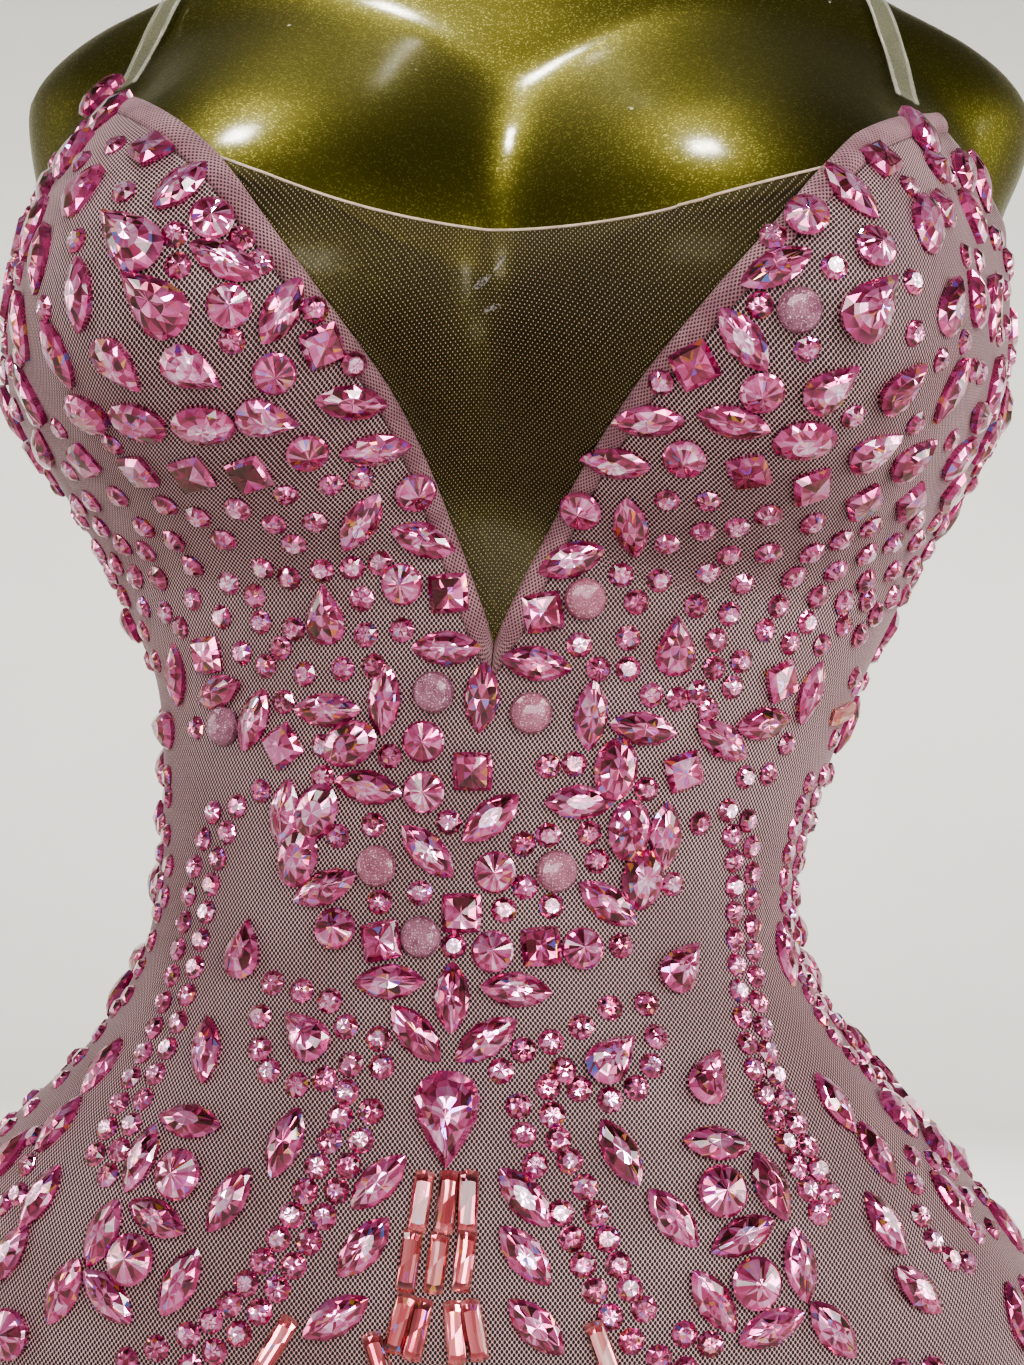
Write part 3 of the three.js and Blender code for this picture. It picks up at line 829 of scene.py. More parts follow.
def make_form():
    """The torso: its level rings and two thighs, made one skin and smoothed."""
    bm = bmesh.new()
    around, rows, bowl_rows = 160, 170, 15
    bmesh.ops.create_grid(bm, x_segments=around, y_segments=rows, size=0.5)
    top = SECTIONS[0][0]
    heights = [BOWL_Z - BOWL_DEPTH * math.cos(math.radians(4 + k * 6)) for k in range(bowl_rows)]
    heights += [mix(BOWL_Z, top, k / (rows - bowl_rows)) for k in range(rows - bowl_rows + 1)]
    for vert in bm.verts:
        angle = (vert.co.x + 0.5) * 360
        vert.co = skin(angle, heights[round((vert.co.y + 0.5) * rows)], False)
    bmesh.ops.remove_doubles(bm, verts=bm.verts, dist=0.01)
    bmesh.ops.holes_fill(bm, edges=[edge for edge in bm.edges if len(edge.link_faces) == 1], sides=0)
    for side in (-1, 1):
        low = bmesh.ops.create_circle(bm, cap_ends=True, segments=64, radius=1)["verts"]
        face = low[0].link_faces[0]
        line = list(reversed(THIGH_LINE))
        for vert in low:
            vert.co = Vector((vert.co.x * line[0][1], vert.co.y * line[0][1] * THIGH_DEEPER, line[0][0]))
        shift = Vector((side * THIGH_X, THIGH_Y + CENTRE_Y, 0))
        bmesh.ops.translate(bm, vec=shift, verts=low)
        for (_, r0), (z1, r1) in zip(line, line[1:]):
            grown = bmesh.ops.extrude_face_region(bm, geom=[face])["geom"]
            face = next(item for item in grown if isinstance(item, bmesh.types.BMFace))
            for vert in face.verts:
                flat = (vert.co - shift) * (r1 / r0)
                vert.co = Vector((flat.x, flat.y, 0)) + shift + Vector((0, 0, z1))
    bmesh.ops.recalc_face_normals(bm, faces=bm.faces)
    piece = finished(bm, "torso", GOLD)
    remesh = piece.modifiers.new("one skin", "REMESH")
    remesh.mode, remesh.voxel_size, remesh.use_smooth_shade = "VOXEL", FORM_VOXEL * MM, True
    soften = piece.modifiers.new("soften", "SMOOTH")
    soften.factor, soften.iterations = 0.5, 5
    bpy.context.view_layer.update()
    whole = bpy.data.meshes.new_from_object(piece.evaluated_get(bpy.context.evaluated_depsgraph_get()))
    piece.modifiers.clear()
    piece.data = whole
    for vert in whole.vertices:
        if vert.co.z < FORM_FOOT * MM:
            vert.co.z = 0
    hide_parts("dress_form")
    return piece


TORSO = make_form()
FRONT = make_front()
make_back()
make_gusset()
make_net()
HEMS = [make_band(1, "hem_right", "neck_band_right"), make_band(-1, "hem_left", "neck_band_left")]
make_strap(1, STRAP_END_RIGHT, "clear_strap_right", "strap_right")
make_strap(-1, STRAP_END_LEFT, "clear_strap_left", "strap_left")

# Camera, in the photograph's frame

FOCAL_PX = 2000
VIEW = dict(distance=650, height=365, aside=7, azimuth=2.5, pitch=4.0, roll=1.8)


def camera_axes():
    azimuth, pitch, roll = (math.radians(VIEW[key]) for key in ("azimuth", "pitch", "roll"))
    level = math.cos(pitch)
    forward = Vector((-math.sin(azimuth) * level, math.cos(azimuth) * level, math.sin(pitch)))
    right = Vector((math.cos(azimuth), math.sin(azimuth), 0))
    up = right.cross(forward)
    right, up = right * math.cos(roll) + up * math.sin(roll), up * math.cos(roll) - right * math.sin(roll)
    place = Vector((math.sin(azimuth), -math.cos(azimuth), 0)) * VIEW["distance"]
    return right, up, forward, place + Vector((VIEW["aside"], CENTRE_Y, VIEW["height"]))


RIGHT, UPWARD, FORWARD, EYE = camera_axes()


def make_camera():
    data = bpy.data.cameras.new("camera")
    data.sensor_width = 36
    data.lens = 36 * FOCAL_PX / PHOTO_H
    data.clip_start, data.clip_end = 0.01, 20
    camera = bpy.data.objects.new("camera", data)
    turn = Matrix((RIGHT, UPWARD, -FORWARD)).transposed()
    camera.matrix_world = Matrix.Translation(EYE * MM) @ turn.to_4x4()
    bpy.context.scene.collection.objects.link(camera)
    bpy.context.scene.camera = camera


make_camera()

# Stones. Each is cut as a round one on a circle of radius 1 and then pressed to its own outline, with
# its long axis, or its point, along X. Its base is at height 0.


def round_edge(turn):
    return math.cos(turn), math.sin(turn)


def lens_edge(turn):
    return math.cos(turn), math.sin(turn) * abs(math.sin(turn)) ** 0.65


def drop_edge(turn):
    return math.cos(turn), 1.27 * math.sin(turn) * abs(math.sin(turn / 2)) ** 1.2


def cushion_edge(turn, power=12):
    c, s = math.cos(turn), math.sin(turn)
    reach = (abs(c) ** power + abs(s) ** power) ** (-1 / power)
    return c * reach, s * reach


# rings are (share of the outline, height, turned by half a side); top is the height of a centre point,
# or None for a flat table; the brightness set for the rim, the crown and the table is painted light: darkest
# on the rim, brightest on the table
STONES = {
    "flatback": dict(
        edge=round_edge, sides=8, size=(3.75, 3.75), painted_facet_light=(0.3, 0.45, 0.66), top=None,
        rings=[(0.97, -0.5, 0), (1, 0.5, 0), (0.58, 1.9, 1)],
    ),
    "chaton": dict(
        edge=round_edge, sides=8, size=(4.2, 4.2), painted_facet_light=(0.4, 0.5, 0.7), top=None,
        rings=[(0.9, -0.5, 0), (1, 0.9, 0), (0.88, 1.3, 0), (0.45, 2.6, 1)],
    ),
    "rivoli": dict(
        edge=round_edge, sides=22, size=(6.0, 6.0), painted_facet_light=(0.35, 0.55, 0.65), top=4.3,
        rings=[(0.9, -0.6, 0), (1, 1.5, 0), (0.9, 2.1, 0)],
    ),
    "square": dict(
        edge=cushion_edge, sides=12, size=(5.6, 5.6), painted_facet_light=(0.3, 0.5, 0.6), top=3.3,
        rings=[(0.92, -0.6, 1), (1, 1.2, 0), (0.76, 2.9, 0)],
    ),
    "navette": dict(
        edge=lens_edge, sides=12, size=(10.3, 5.1), painted_facet_light=(0.3, 0.5, 0.7), top=None,
        rings=[(0.94, -0.8, 0), (1, 1.2, 0), (0.8, 2.3, 1), (0.42, 3.5, 0)],
    ),
    "pear": dict(
        edge=drop_edge, sides=14, size=(9.0, 6.5), painted_facet_light=(0.35, 0.5, 0.7), top=None,
        rings=[(0.93, -0.8, 0), (1, 1.4, 0), (0.78, 3.0, 1), (0.45, 4.1, 0)],
    ),
    "oval": dict(
        edge=round_edge, sides=14, size=(9.0, 6.5), painted_facet_light=(0.35, 0.5, 0.7), top=None,
        rings=[(0.93, -0.8, 0), (1, 1.4, 0), (0.78, 3.0, 1), (0.45, 4.1, 0)],
    ),
    "baguette": dict(
        edge=cushion_edge, sides=12, size=(8.5, 2.8), painted_facet_light=(0.35, 0.55, 0.7), top=None,
        rings=[(0.95, -0.7, 1), (1, 1.0, 0), (0.88, 1.9, 0), (0.68, 2.5, 0)],
    ),
    "crackle": dict(
        edge=round_edge, sides=16, size=(6.0, 6.0), painted_facet_light=(0.5, 0.6, 0.7), top=3.3,
        rings=[(0.92, -0.6, 0), (1, 1.2, 0), (0.9, 2.4, 0), (0.7, 2.95, 0), (0.4, 3.2, 0)],
    ),
}


# The foils' colours, with painted shade at the dark end of each ramp and painted highlights at the near-white
# end
PINK_FOIL_AND_PAINTED_LIGHT = [
    (0.0, (0.045, 0.014, 0.009)),
    (0.2, (0.15, 0.028, 0.026)),
    (0.34, (0.4, 0.045, 0.12)),
    (0.5, (0.66, 0.15, 0.36)),
    (0.66, (0.66, 0.28, 0.47)),
    (0.82, (0.84, 0.52, 0.72)),
    (1.0, (1.0, 0.88, 0.97)),
]
SALMON_FOIL_AND_PAINTED_LIGHT = [
    (0.0, (0.05, 0.01, 0.007)),
    (0.25, (0.3, 0.03, 0.03)),
    (0.5, (0.58, 0.1, 0.11)),
    (0.75, (0.84, 0.34, 0.34)),
    (1.0, (1.0, 0.88, 0.86)),
]


def foiled_glass(name, stops, streaks=False):
    """Cut glass with a foil behind it, whose reflections are painted: cells drawn on the stone's own circle,
    in rings round its middle, or as streaks along it, are painted from near-black shade to near-white
    highlights."""
    g = Graph(name)
    spot = g.make("ShaderNodeUVMap", {"uv_map": "spot"})
    parts = g.tree.nodes.new("ShaderNodeSeparateXYZ")
    g.join(parts.inputs[0], spot)
    across, up = Field(g, parts.outputs[0]), Field(g, parts.outputs[1])
    facet, luck, tone = (g.make("ShaderNodeAttribute", {"attribute_name": n}, output=2) for n in LAYERS)
    # Kites and triangles in rings round the middle: the cells of the painted reflections
    reach = (across * across + up * up).root() * 2.3 + luck * 0.6
    ring = reach.maths("FLOOR")
    turn = across.maths("ARCTAN2", up) * (4.0 / math.pi) + ring * 0.5
    kite = abs(turn.part() - 0.5) * 2 - reach.part()
    side = kite.maths("GREATER_THAN", 0.0)
    cell = g.make("ShaderNodeCombineXYZ", None, [turn.maths("FLOOR") + side * 31.0, ring, luck * 977.0])
    if streaks:
        lane, part = (up * 3.3).maths("FLOOR"), (across * 1.3 + up * 0.4).maths("FLOOR")
        cell = g.make("ShaderNodeCombineXYZ", None, [lane, part, luck * 977.0])
    inner = g.make("ShaderNodeTexWhiteNoise", {"noise_dimensions": "3D"}, {"Vector": cell})
    plane = g.make("ShaderNodeCombineXYZ", None, [facet, luck * 577.0, 3.0])
    outer = g.make("ShaderNodeTexWhiteNoise", {"noise_dimensions": "3D"}, {"Vector": plane})
    square = facet.step(98.0, 99.0)
    # Painted light: a cell's brightness mixes random values with the facet's tone, which paints the table
    # brightest and the rim darkest
    light = inner * (0.55 - square * 0.3) + outer * (0.4 + square * 0.2) + tone * 0.55 + luck * 0.12 - 0.34
    colour = g.make("ShaderNodeValToRGB", {"stops": stops}, {"Fac": light})
    # Painted shade: the colour is drawn to a deeper, darker pink towards the rim
    rim = (across * across + up * up).root().step(0.7, 1.0)
    colour = g.blend(rim * 0.6, colour, stops[3][1] if streaks else (0.6, 0.08, 0.27))
    # Painted reflections: flashes of the rainbow coat, painted on random cells
    tints = [
        (0.0, (0.25, 0.08, 0.85)),
        (0.3, (0.05, 0.35, 0.9)),
        (0.5, (0.75, 0.12, 0.7)),
        (0.7, (0.95, 0.6, 0.12)),
        (1.0, (0.9, 0.25, 0.03)),
    ]
    slice_of = turn.maths("FLOOR") + side * 13.0
    far = g.make("ShaderNodeCombineXYZ", None, [slice_of, ring + facet, luck * 311.0])
    chance = g.make("ShaderNodeTexWhiteNoise", {"noise_dimensions": "3D"}, {"Vector": far})
    tint = g.make("ShaderNodeValToRGB", {"stops": tints}, {"Fac": (chance * 57.0).part()})
    colour = g.blend(chance.step(0.93, 0.95) * 0.6, colour, tint)
    # Each cell of the foil also throws the light its own way
    lean = g.make("ShaderNodeTexWhiteNoise", {"noise_dimensions": "3D"}, {"Vector": cell}, output=1)
    lean = g.make("ShaderNodeVectorMath", {"operation": "SUBTRACT"}, [lean, (0.5, 0.5, 0.5)])
    lean = g.make("ShaderNodeVectorMath", {"operation": "MULTIPLY"}, [lean, (0.38, 0.38, 0.38)])
    normal = g.make("ShaderNodeNewGeometry", output=1)
    normal = g.make("ShaderNodeVectorMath", {"operation": "ADD"}, [normal, lean])
    normal = g.make("ShaderNodeVectorMath", {"operation": "NORMALIZE"}, [normal])
    g.look(Base_Color=colour, Roughness=0.07, Metallic=0.6, IOR=1.6, Normal=normal)
    g.look(Thin_Film_Thickness=420.0, Thin_Film_IOR=1.9)
    return g.look(Coat_Weight=1.0, Coat_Roughness=0.02, Coat_IOR=1.6)


def frosted_glass():
    """Glass full of fine cracks, with a frosted face."""
    g = Graph("frosted glass")
    place = g.own()
    luck = g.make("ShaderNodeAttribute", {"attribute_name": "luck"}, output=2)
    cracks = g.make(
        "ShaderNodeTexVoronoi",
        {"feature": "DISTANCE_TO_EDGE"},
        {"Vector": place, "Scale": 1 / (0.7 * MM)},
    )
    line = 1 - cracks.step(0.02, 0.12)
    milk = g.noise(3.0, 3.0).step(0.3, 0.7)
    colour = g.blend(milk, (0.21, 0.065, 0.115), (0.35, 0.145, 0.215))
    colour = g.blend(luck.step(0.5, 0.9) * 0.5, colour, (0.4, 0.12, 0.17))
    colour = g.blend(line * g.noise(0.5, 1.0).step(0.5, 0.7), colour, (0.9, 0.7, 0.8))
    g.look(Base_Color=colour, Roughness=0.35 + milk * 0.2, Metallic=0.25)
    g.look(Normal=g.bump(line, 0.5, 0.2))
    return g.look(Coat_Weight=0.7, Coat_Roughness=0.1, IOR=1.55)


LAYERS = ("facet", "luck", "tone")
GLASS = foiled_glass("pink foiled glass", PINK_FOIL_AND_PAINTED_LIGHT)
SALMON = foiled_glass("salmon foiled glass", SALMON_FOIL_AND_PAINTED_LIGHT, True)
FROST = frosted_glass()


def round_the_stone(face):
    """Orders a stone's facets from its base up and round it, the same in every run."""
    middle = face.calc_center_median()
    return round(middle.z, 3), round((math.atan2(middle.y, middle.x) + 0.1) % math.tau, 3)


def cut_stone(bm, kind):
    """One stone as the pattern for the rest, with a number for each facet."""
    facet, _, tone = (bm.faces.layers.float.new(name) for name in LAYERS)
    spot = bm.loops.layers.uv.new("spot")
    half_side = math.pi / kind["sides"]
    first = bmesh.ops.create_circle(bm, cap_ends=True, segments=kind["sides"], radius=1)["verts"]
    face = first[0].link_faces[0]
    for step, (share, height, turned) in enumerate(kind["rings"]):
        if step:
            grown = bmesh.ops.extrude_face_region(bm, geom=[face])["geom"]
            face = next(item for item in grown if isinstance(item, bmesh.types.BMFace))
        for vert in face.verts:
            turn = math.atan2(vert.co.y, vert.co.x) + turned * half_side
            vert.co = Vector((share * math.cos(turn), share * math.sin(turn), height))
    if kind["top"]:
        centre = bmesh.ops.poke(bm, faces=[face])["verts"][0]
        centre.co = Vector((0, 0, kind["top"]))
    sides = [f for f in bm.faces if len(f.verts) == 4]
    bmesh.ops.triangulate(bm, faces=sides, quad_method="SHORT_EDGE")
    bmesh.ops.recalc_face_normals(bm, faces=bm.faces)
    for number, f in enumerate(sorted(bm.faces, key=round_the_stone), 1):
        upright = f.normal.z
        rim, crown, table = kind["painted_facet_light"]
        # Painted light: the table is painted brightest and the rim facets darkest, by which way each facet
        # faces
        f[tone] = rim if upright < 0.35 else table if upright > 0.97 else crown
        middle = f.calc_center_median()
        quarter = math.floor(math.atan2(middle.y, middle.x) / math.pi * 2 + 0.5) % 4
        ring = 10 if middle.xy.length > 0.8 else 0
        f[facet] = 100 + quarter + ring if kind["edge"] is cushion_edge and upright > 0.2 else number
        for loop in f.loops:
            loop[spot].uv = loop.vert.co.xy
    wide, deep = kind["size"]
    for vert in bm.verts:
        reach = vert.co.xy.length
        x, y = kind["edge"](math.atan2(vert.co.y, vert.co.x))
        vert.co = Vector((x * reach * wide, y * reach * deep, vert.co.z))


# How near two stones' circles may come, in millimetres; less than 0 lets them overlap a little
STRAND_GAP, SEEN_GAP = -0.7, -1.5
SCATTER_GAPS = (0.6, 2.5, 5.0)


class Bed:
    """Where the stones are set: each is kept with the circles that it takes up on the cloth."""

    CELL = 24  # millimetres; more than two of the largest stones' circles need

    def __init__(self):
        self.set = {name: [] for name in STONES}
        self.circles = {}

    def near(self, p):
        home = [math.floor(c / self.CELL) for c in p]
        for i in range(27):
            key = (home[0] + i % 3 - 1, home[1] + i // 3 % 3 - 1, home[2] + i // 9 - 1)
            yield from self.circles.get(key, ())

    def put(self, name, p, normal, along, scale=1.0, gap=STRAND_GAP):
        """Sets a stone at p unless it would lie within gap of another; sizes in millimetres."""
        wide, deep = (side * scale for side in STONES[name]["size"])
        along = (along - normal * along.dot(normal)).normalized()
        reach = wide - deep
        spots = [p + along * reach * t for t in ((0,) if reach < 0.5 else (-0.8, 0, 0.8))]
        radius = [deep] if len(spots) == 1 else [deep * 0.7, deep, deep * 0.7]
        for spot, r in zip(spots, radius):
            if any((spot - other).length < r + s + gap for other, s in self.near(spot)):
                return False
        for spot, r in zip(spots, radius):
            key = tuple(math.floor(c / self.CELL) for c in spot)
            self.circles.setdefault(key, []).append((spot, r))
        self.set[name].append((p, normal, along, scale))
        return True


BED = Bed()
DRAW = random.Random(7)


def tree_of(piece):
    data = piece.data
    return BVHTree.FromPolygons([v.co / MM for v in data.vertices], [f.vertices[:] for f in data.polygons])


FRONT_TREE, TORSO_TREE = tree_of(FRONT), tree_of(TORSO)
HEM_TREES = [tree_of(hem) for hem in HEMS]


def seen_at(x, y):
    """The place on the cloth that the photograph shows at a pixel, and the way out of the cloth there.
    A pixel just off the cloth is moved towards the middle of the picture until it is on it."""
    for pulled in range(12):
        aside = (x - PHOTO_W / 2) * (1 - pulled / 80)
        way = FORWARD + RIGHT * (aside / FOCAL_PX) + UPWARD * ((PHOTO_H / 2 - y - pulled * 2) / FOCAL_PX)
        for tree in (*HEM_TREES, FRONT_TREE):
            place, normal, _, _ = tree.ray_cast(EYE, way.normalized())
            if place and abs(normal.dot(way.normalized())) > 0.1:
                if tree is not FRONT_TREE:
                    normal = TORSO_TREE.find_nearest(place)[1]
                return place, normal if normal.dot(way) < 0 else -normal
    return None, None


def set_seen(name, x, y, tilt=None, scale=1.0):
    """Sets a stone at a pixel; tilt is how far its long axis turns from level, in degrees."""
    place, normal = seen_at(x, y)
    if place is None:
        return
    turn = math.radians(DRAW.uniform(0, 360) if tilt is None else tilt)
    BED.put(name, place, normal, RIGHT * math.cos(turn) + UPWARD * math.sin(turn), scale, SEEN_GAP)


# The stones that the photograph shows, listed one by one: pixels (x, y), or (x, y, tilt) in its 1024 by 1365
# frame

PEAR_SHAPES = [
    (93, 93, 20), (49, 130, 55), (70, 153, 45), (31, 174, 60), (85, 191, 25), (119, 365, -60),
    (193, 370, -35), (268, 418, -15), (326, 614, 90), (245, 949, 90), (305, 1034, 135), (917, 132, 110),
    (969, 217, -60), (948, 305, 60), (832, 386, 45), (902, 386, 45), (874, 449, 20), (912, 457, 20),
    (958, 455, 10), (675, 645, 90), (682, 965, 45), (613, 1057, 45), (709, 1076, 60),
]
BIG_PEARS = [(129, 238, 135), (153, 300, 135), (871, 305, 45)]
CENTRE_PEAR = (447, 1120, -90)
OVALS = [
    (88, 413, 15), (139, 421, 0), (204, 424, 0), (299, 857, 80), (969, 168, 70), (925, 225, 75),
    (804, 439, 0), (897, 1115, -60), (351, 744, 20), (317, 812, 60), (615, 769, 80), (628, 830, 80),
    (641, 879, 80),
]
NAVETTES = [
    (108, 117, 10), (181, 186, 55), (18, 223, 75), (42, 259, 80), (80, 295, 80), (225, 261, -25),
    (281, 311, 60), (23, 326, 80), (59, 354, 85), (31, 393, -60), (351, 402, -10), (375, 449, 0),
    (361, 521, 65), (424, 540, -20), (447, 648, 0), (178, 673, 90), (220, 692, 15), (328, 710, 0),
    (385, 700, 85), (482, 697, 85), (255, 720, 60), (369, 787, -10), (286, 813, 80), (491, 818, 40),
    (428, 851, -45), (326, 888, 20), (390, 982, 0), (452, 998, 90), (516, 990, -5), (416, 1034, -50),
    (486, 1040, 35), (207, 1050, -75), (103, 1068, 75), (191, 1122, -15), (60, 1125, 80), (286, 1143, 75),
    (142, 1159, 80), (10, 1157, 65), (379, 1182, 45), (42, 1197, 70), (230, 1200, 60), (158, 1218, -25),
    (104, 1233, 70), (364, 1247, 50), (10, 1255, 60), (181, 1282, 65), (65, 1291, 65), (109, 1296, -40),
    (336, 1317, 30), (850, 192, -50), (1002, 174, -65), (776, 269, 25), (990, 308, 85), (744, 339, -55),
    (950, 390, 75), (998, 386, 70), (649, 420, 10), (734, 421, -15), (616, 462, 5), (631, 526, 90),
    (571, 560, 20), (536, 663, -10), (809, 692, 65), (590, 715, 88), (642, 728, -10), (762, 723, 0),
    (721, 740, -30), (579, 802, 0), (664, 836, 88), (607, 903, -35), (784, 955, 85), (834, 1104, -75),
    (620, 1153, -65), (716, 1144, 0), (876, 1154, -80), (770, 1187, -75), (525, 1197, -50),
    (950, 1200, -70), (672, 1218, -50), (884, 1224, -70), (1003, 1226, -65), (742, 1236, 25),
    (525, 1255, -50), (799, 1265, -85), (917, 1290, -35), (713, 1301, -55), (1016, 1317, 85),
    (536, 1326, -45), (770, 1327, 20), (832, 1329, -50),
]
SQUARES = [
    (152, 151, 40), (322, 346, 20), (86, 459, 40), (140, 470, 35), (193, 473, 35), (250, 473, 35),
    (449, 593, 5), (209, 655, 10), (284, 746, 30), (473, 771, 0), (462, 913, 0), (382, 941, 10),
    (541, 947, 5), (543, 612, 10), (695, 365, 30), (749, 470, 25), (811, 485, 10), (863, 501, 30),
    (909, 501, 20), (950, 491, 25), (780, 681, 10), (683, 771, 15), (879, 161, 45),
]
ROUNDS = [
    (212, 220), (229, 306), (274, 372), (307, 451), (415, 491), (403, 584), (424, 741), (424, 792),
    (495, 872), (336, 929), (493, 952), (582, 949), (806, 217), (874, 248), (762, 391), (685, 457),
    (581, 509), (935, 168),
]
BIG_ROUNDS = [(180, 1175), (132, 1260), (11, 1334), (721, 1192), (755, 1283)]
CRACKLES = [
    (434, 692), (531, 713), (377, 866), (421, 937), (799, 310), (585, 599), (556, 871), (757, 751),
    (225, 726),
]
BAGUETTES = [
    (421, 1202, 83), (447, 1202, 85), (468, 1202, 88), (410, 1260, 83), (437, 1262, 83), (464, 1260, 83),
    (400, 1322, 75), (418, 1329, 78), (455, 1332, -85), (475, 1329, -80), (276, 1344, 60),
    (380, 1362, -70), (603, 1350, -70),
]
CHATONS = [
    (119, 495), (166, 504), (199, 516), (238, 508), (224, 539), (145, 526), (175, 540), (193, 565),
    (160, 578), (137, 576), (93, 500), (80, 504), (103, 526), (124, 544), (147, 550), (101, 549),
    (118, 563), (108, 570), (126, 596), (768, 514), (812, 522), (768, 552), (811, 552), (840, 539),
    (870, 526), (866, 553), (835, 570), (793, 576), (817, 596), (843, 602), (892, 542), (915, 519),
    (915, 540), (865, 580), (892, 570), (910, 566), (866, 599), (891, 596), (907, 593), (858, 635),
    (874, 614),
]
FLATBACKS_LEFT = [
    (116, 146), (124, 192), (175, 235), (242, 238), (77, 241), (178, 266), (246, 274), (261, 262),
    (315, 310), (15, 272), (46, 308), (232, 341), (354, 364), (13, 367), (60, 428), (113, 444),
    (286, 495), (331, 485), (361, 478), (274, 524), (315, 522), (294, 544), (380, 563), (263, 568),
    (289, 578), (322, 570), (353, 568), (229, 583), (255, 596), (302, 599), (362, 599), (193, 599),
    (222, 617), (261, 622), (294, 629), (145, 607), (166, 612), (181, 627), (366, 635), (402, 630),
    (242, 653), (281, 648), (266, 666), (294, 660), (277, 681), (305, 674), (343, 669), (374, 666),
    (256, 695), (284, 702), (197, 728), (323, 746), (390, 756), (323, 777), (261, 791), (338, 836),
    (374, 825), (449, 822), (274, 864), (380, 902), (420, 893), (454, 946), (504, 910), (273, 983),
    (302, 991), (330, 1001), (260, 1017), (346, 1027), (379, 1039), (260, 1049), (382, 1067),
    (269, 1071), (325, 1079), (297, 1085), (501, 1071), (127, 1360), (157, 1348),
]
FLATBACKS_RIGHT = [
    (773, 236), (834, 267), (909, 187), (912, 282), (760, 305), (807, 349), (661, 382), (914, 333),
    (963, 342), (964, 256), (940, 360), (853, 416), (915, 423), (667, 500), (708, 501), (667, 544),
    (703, 531), (737, 527), (729, 555), (621, 575), (659, 580), (708, 573), (742, 584), (636, 602),
    (696, 606), (729, 614), (778, 606), (807, 622), (843, 625), (765, 630), (716, 640), (790, 643),
    (821, 645), (579, 645), (628, 638), (598, 669), (628, 669), (714, 668), (741, 661), (651, 695),
    (677, 699), (698, 692), (732, 687), (708, 710), (695, 730), (786, 744), (548, 766), (574, 764),
    (643, 760), (646, 789), (745, 777), (768, 774), (768, 792), (548, 835), (523, 844), (589, 833),
    (700, 823), (597, 861), (525, 887), (672, 884), (551, 906), (621, 946), (610, 1008), (646, 1004),
    (581, 1027), (551, 1042), (523, 1050), (656, 1037), (563, 1070), (652, 1066), (636, 1088),
    (579, 1089), (610, 1100), (912, 1156), (932, 1161), (950, 1171), (914, 1184), (966, 1197),
    (920, 1216), (976, 1233), (933, 1241), (951, 1259), (967, 1262),
]

# Strands of flat backs, in two staggered rows along a line: (a row's distance from it, step, line), in pixels
STRANDS = [
    (10, 14, [(228, 803), (206, 865), (195, 922), (182, 979), (163, 1035), (136, 1092), (95, 1180)]),
    (6, 15, [(163, 776), (161, 820), (164, 865), (158, 903), (141, 945), (108, 1013), (50, 1085)]),
    (14, 14, [(367, 1053), (356, 1115), (335, 1162), (305, 1222), (268, 1278), (228, 1325), (170, 1362)]),
    (16, 14, [(532, 1090), (543, 1145), (568, 1190), (592, 1245), (618, 1300), (650, 1335), (712, 1362)]),
    (9, 13, [(735, 796), (742, 850), (743, 900), (744, 950), (752, 1020), (770, 1085), (830, 1215)]),
    (5, 12, [(817, 773), (794, 845), (789, 905), (805, 975), (838, 1035), (892, 1090)]),
    (5, 15, [(30, 1135), (20, 1175), (5, 1215)]),
]


def along_line(line, step):
    """Points and directions at equal steps along a line of (x, y) corners, rounded by a smooth curve."""
    dense = []
    for k in range(len(line) - 1):
        a, b, c, d = (Vector(line[clamp(i, 0, len(line) - 1)]) for i in (k - 1, k, k + 1, k + 2))
        for part in range(20):
            t = part / 20
            sloped = (c - a) * t
            bent = (2 * a - 5 * b + 4 * c - d) * t * t
            turned = (3 * b - a - 3 * c + d) * t**3
            dense.append(b + (sloped + bent + turned) / 2)
    dense.append(Vector(line[-1]))
    gone = 0.0
    for p, q in zip(dense, dense[1:]):
        while gone <= (q - p).length:
            yield p + (q - p).normalized() * gone, (q - p).normalized()
            gone += step
        gone -= (q - p).length


def set_photographed():
    set_seen("pear", *CENTRE_PEAR, 1.5)
    for scale, name, rows in (
        (1.25, "pear", BIG_PEARS),
        (1.2, "rivoli", BIG_ROUNDS),
        (1.0, "square", SQUARES),
        (1.0, "navette", NAVETTES),
        (1.0, "baguette", BAGUETTES),
        (1.0, "pear", PEAR_SHAPES),
        (1.0, "oval", OVALS),
        (1.0, "rivoli", ROUNDS),
        (1.0, "crackle", CRACKLES),
        (1.0, "chaton", CHATONS),
        (1.0, "flatback", FLATBACKS_LEFT),
        (1.0, "flatback", FLATBACKS_RIGHT),
    ):
        for row in rows:
            set_seen(name, *row, *([None] if len(row) == 2 else []), scale)
    for side, step, line in STRANDS:
        for k, (p, way) in enumerate(along_line(line, step)):
            aside = Vector((-way.y, way.x)) * side * (1 if k % 2 else -1)
            set_seen("flatback", *(p + aside))


def on_cloth(angle, z):
    """A place on the cloth's outer side, the way out of it, and the way up it."""
    place = surface(angle, z, CLEAR + THIN)
    out = (surface(angle, z, CLEAR + 5) - surface(angle, z, CLEAR)).normalized()
    return place, out, (skin(angle, z + 2) - skin(angle, z - 2)).normalized()


def in_picture(place, out):
    """Is this place in the photograph, and turned enough towards it to be read there?"""
    way = place - EYE
    depth = way.dot(FORWARD)
    x = PHOTO_W / 2 + FOCAL_PX * way.dot(RIGHT) / depth
    y = PHOTO_H / 2 - FOCAL_PX * way.dot(UPWARD) / depth
    return 0 < x < PHOTO_W and 0 < y < PHOTO_H and -way.normalized().dot(out) > 0.3


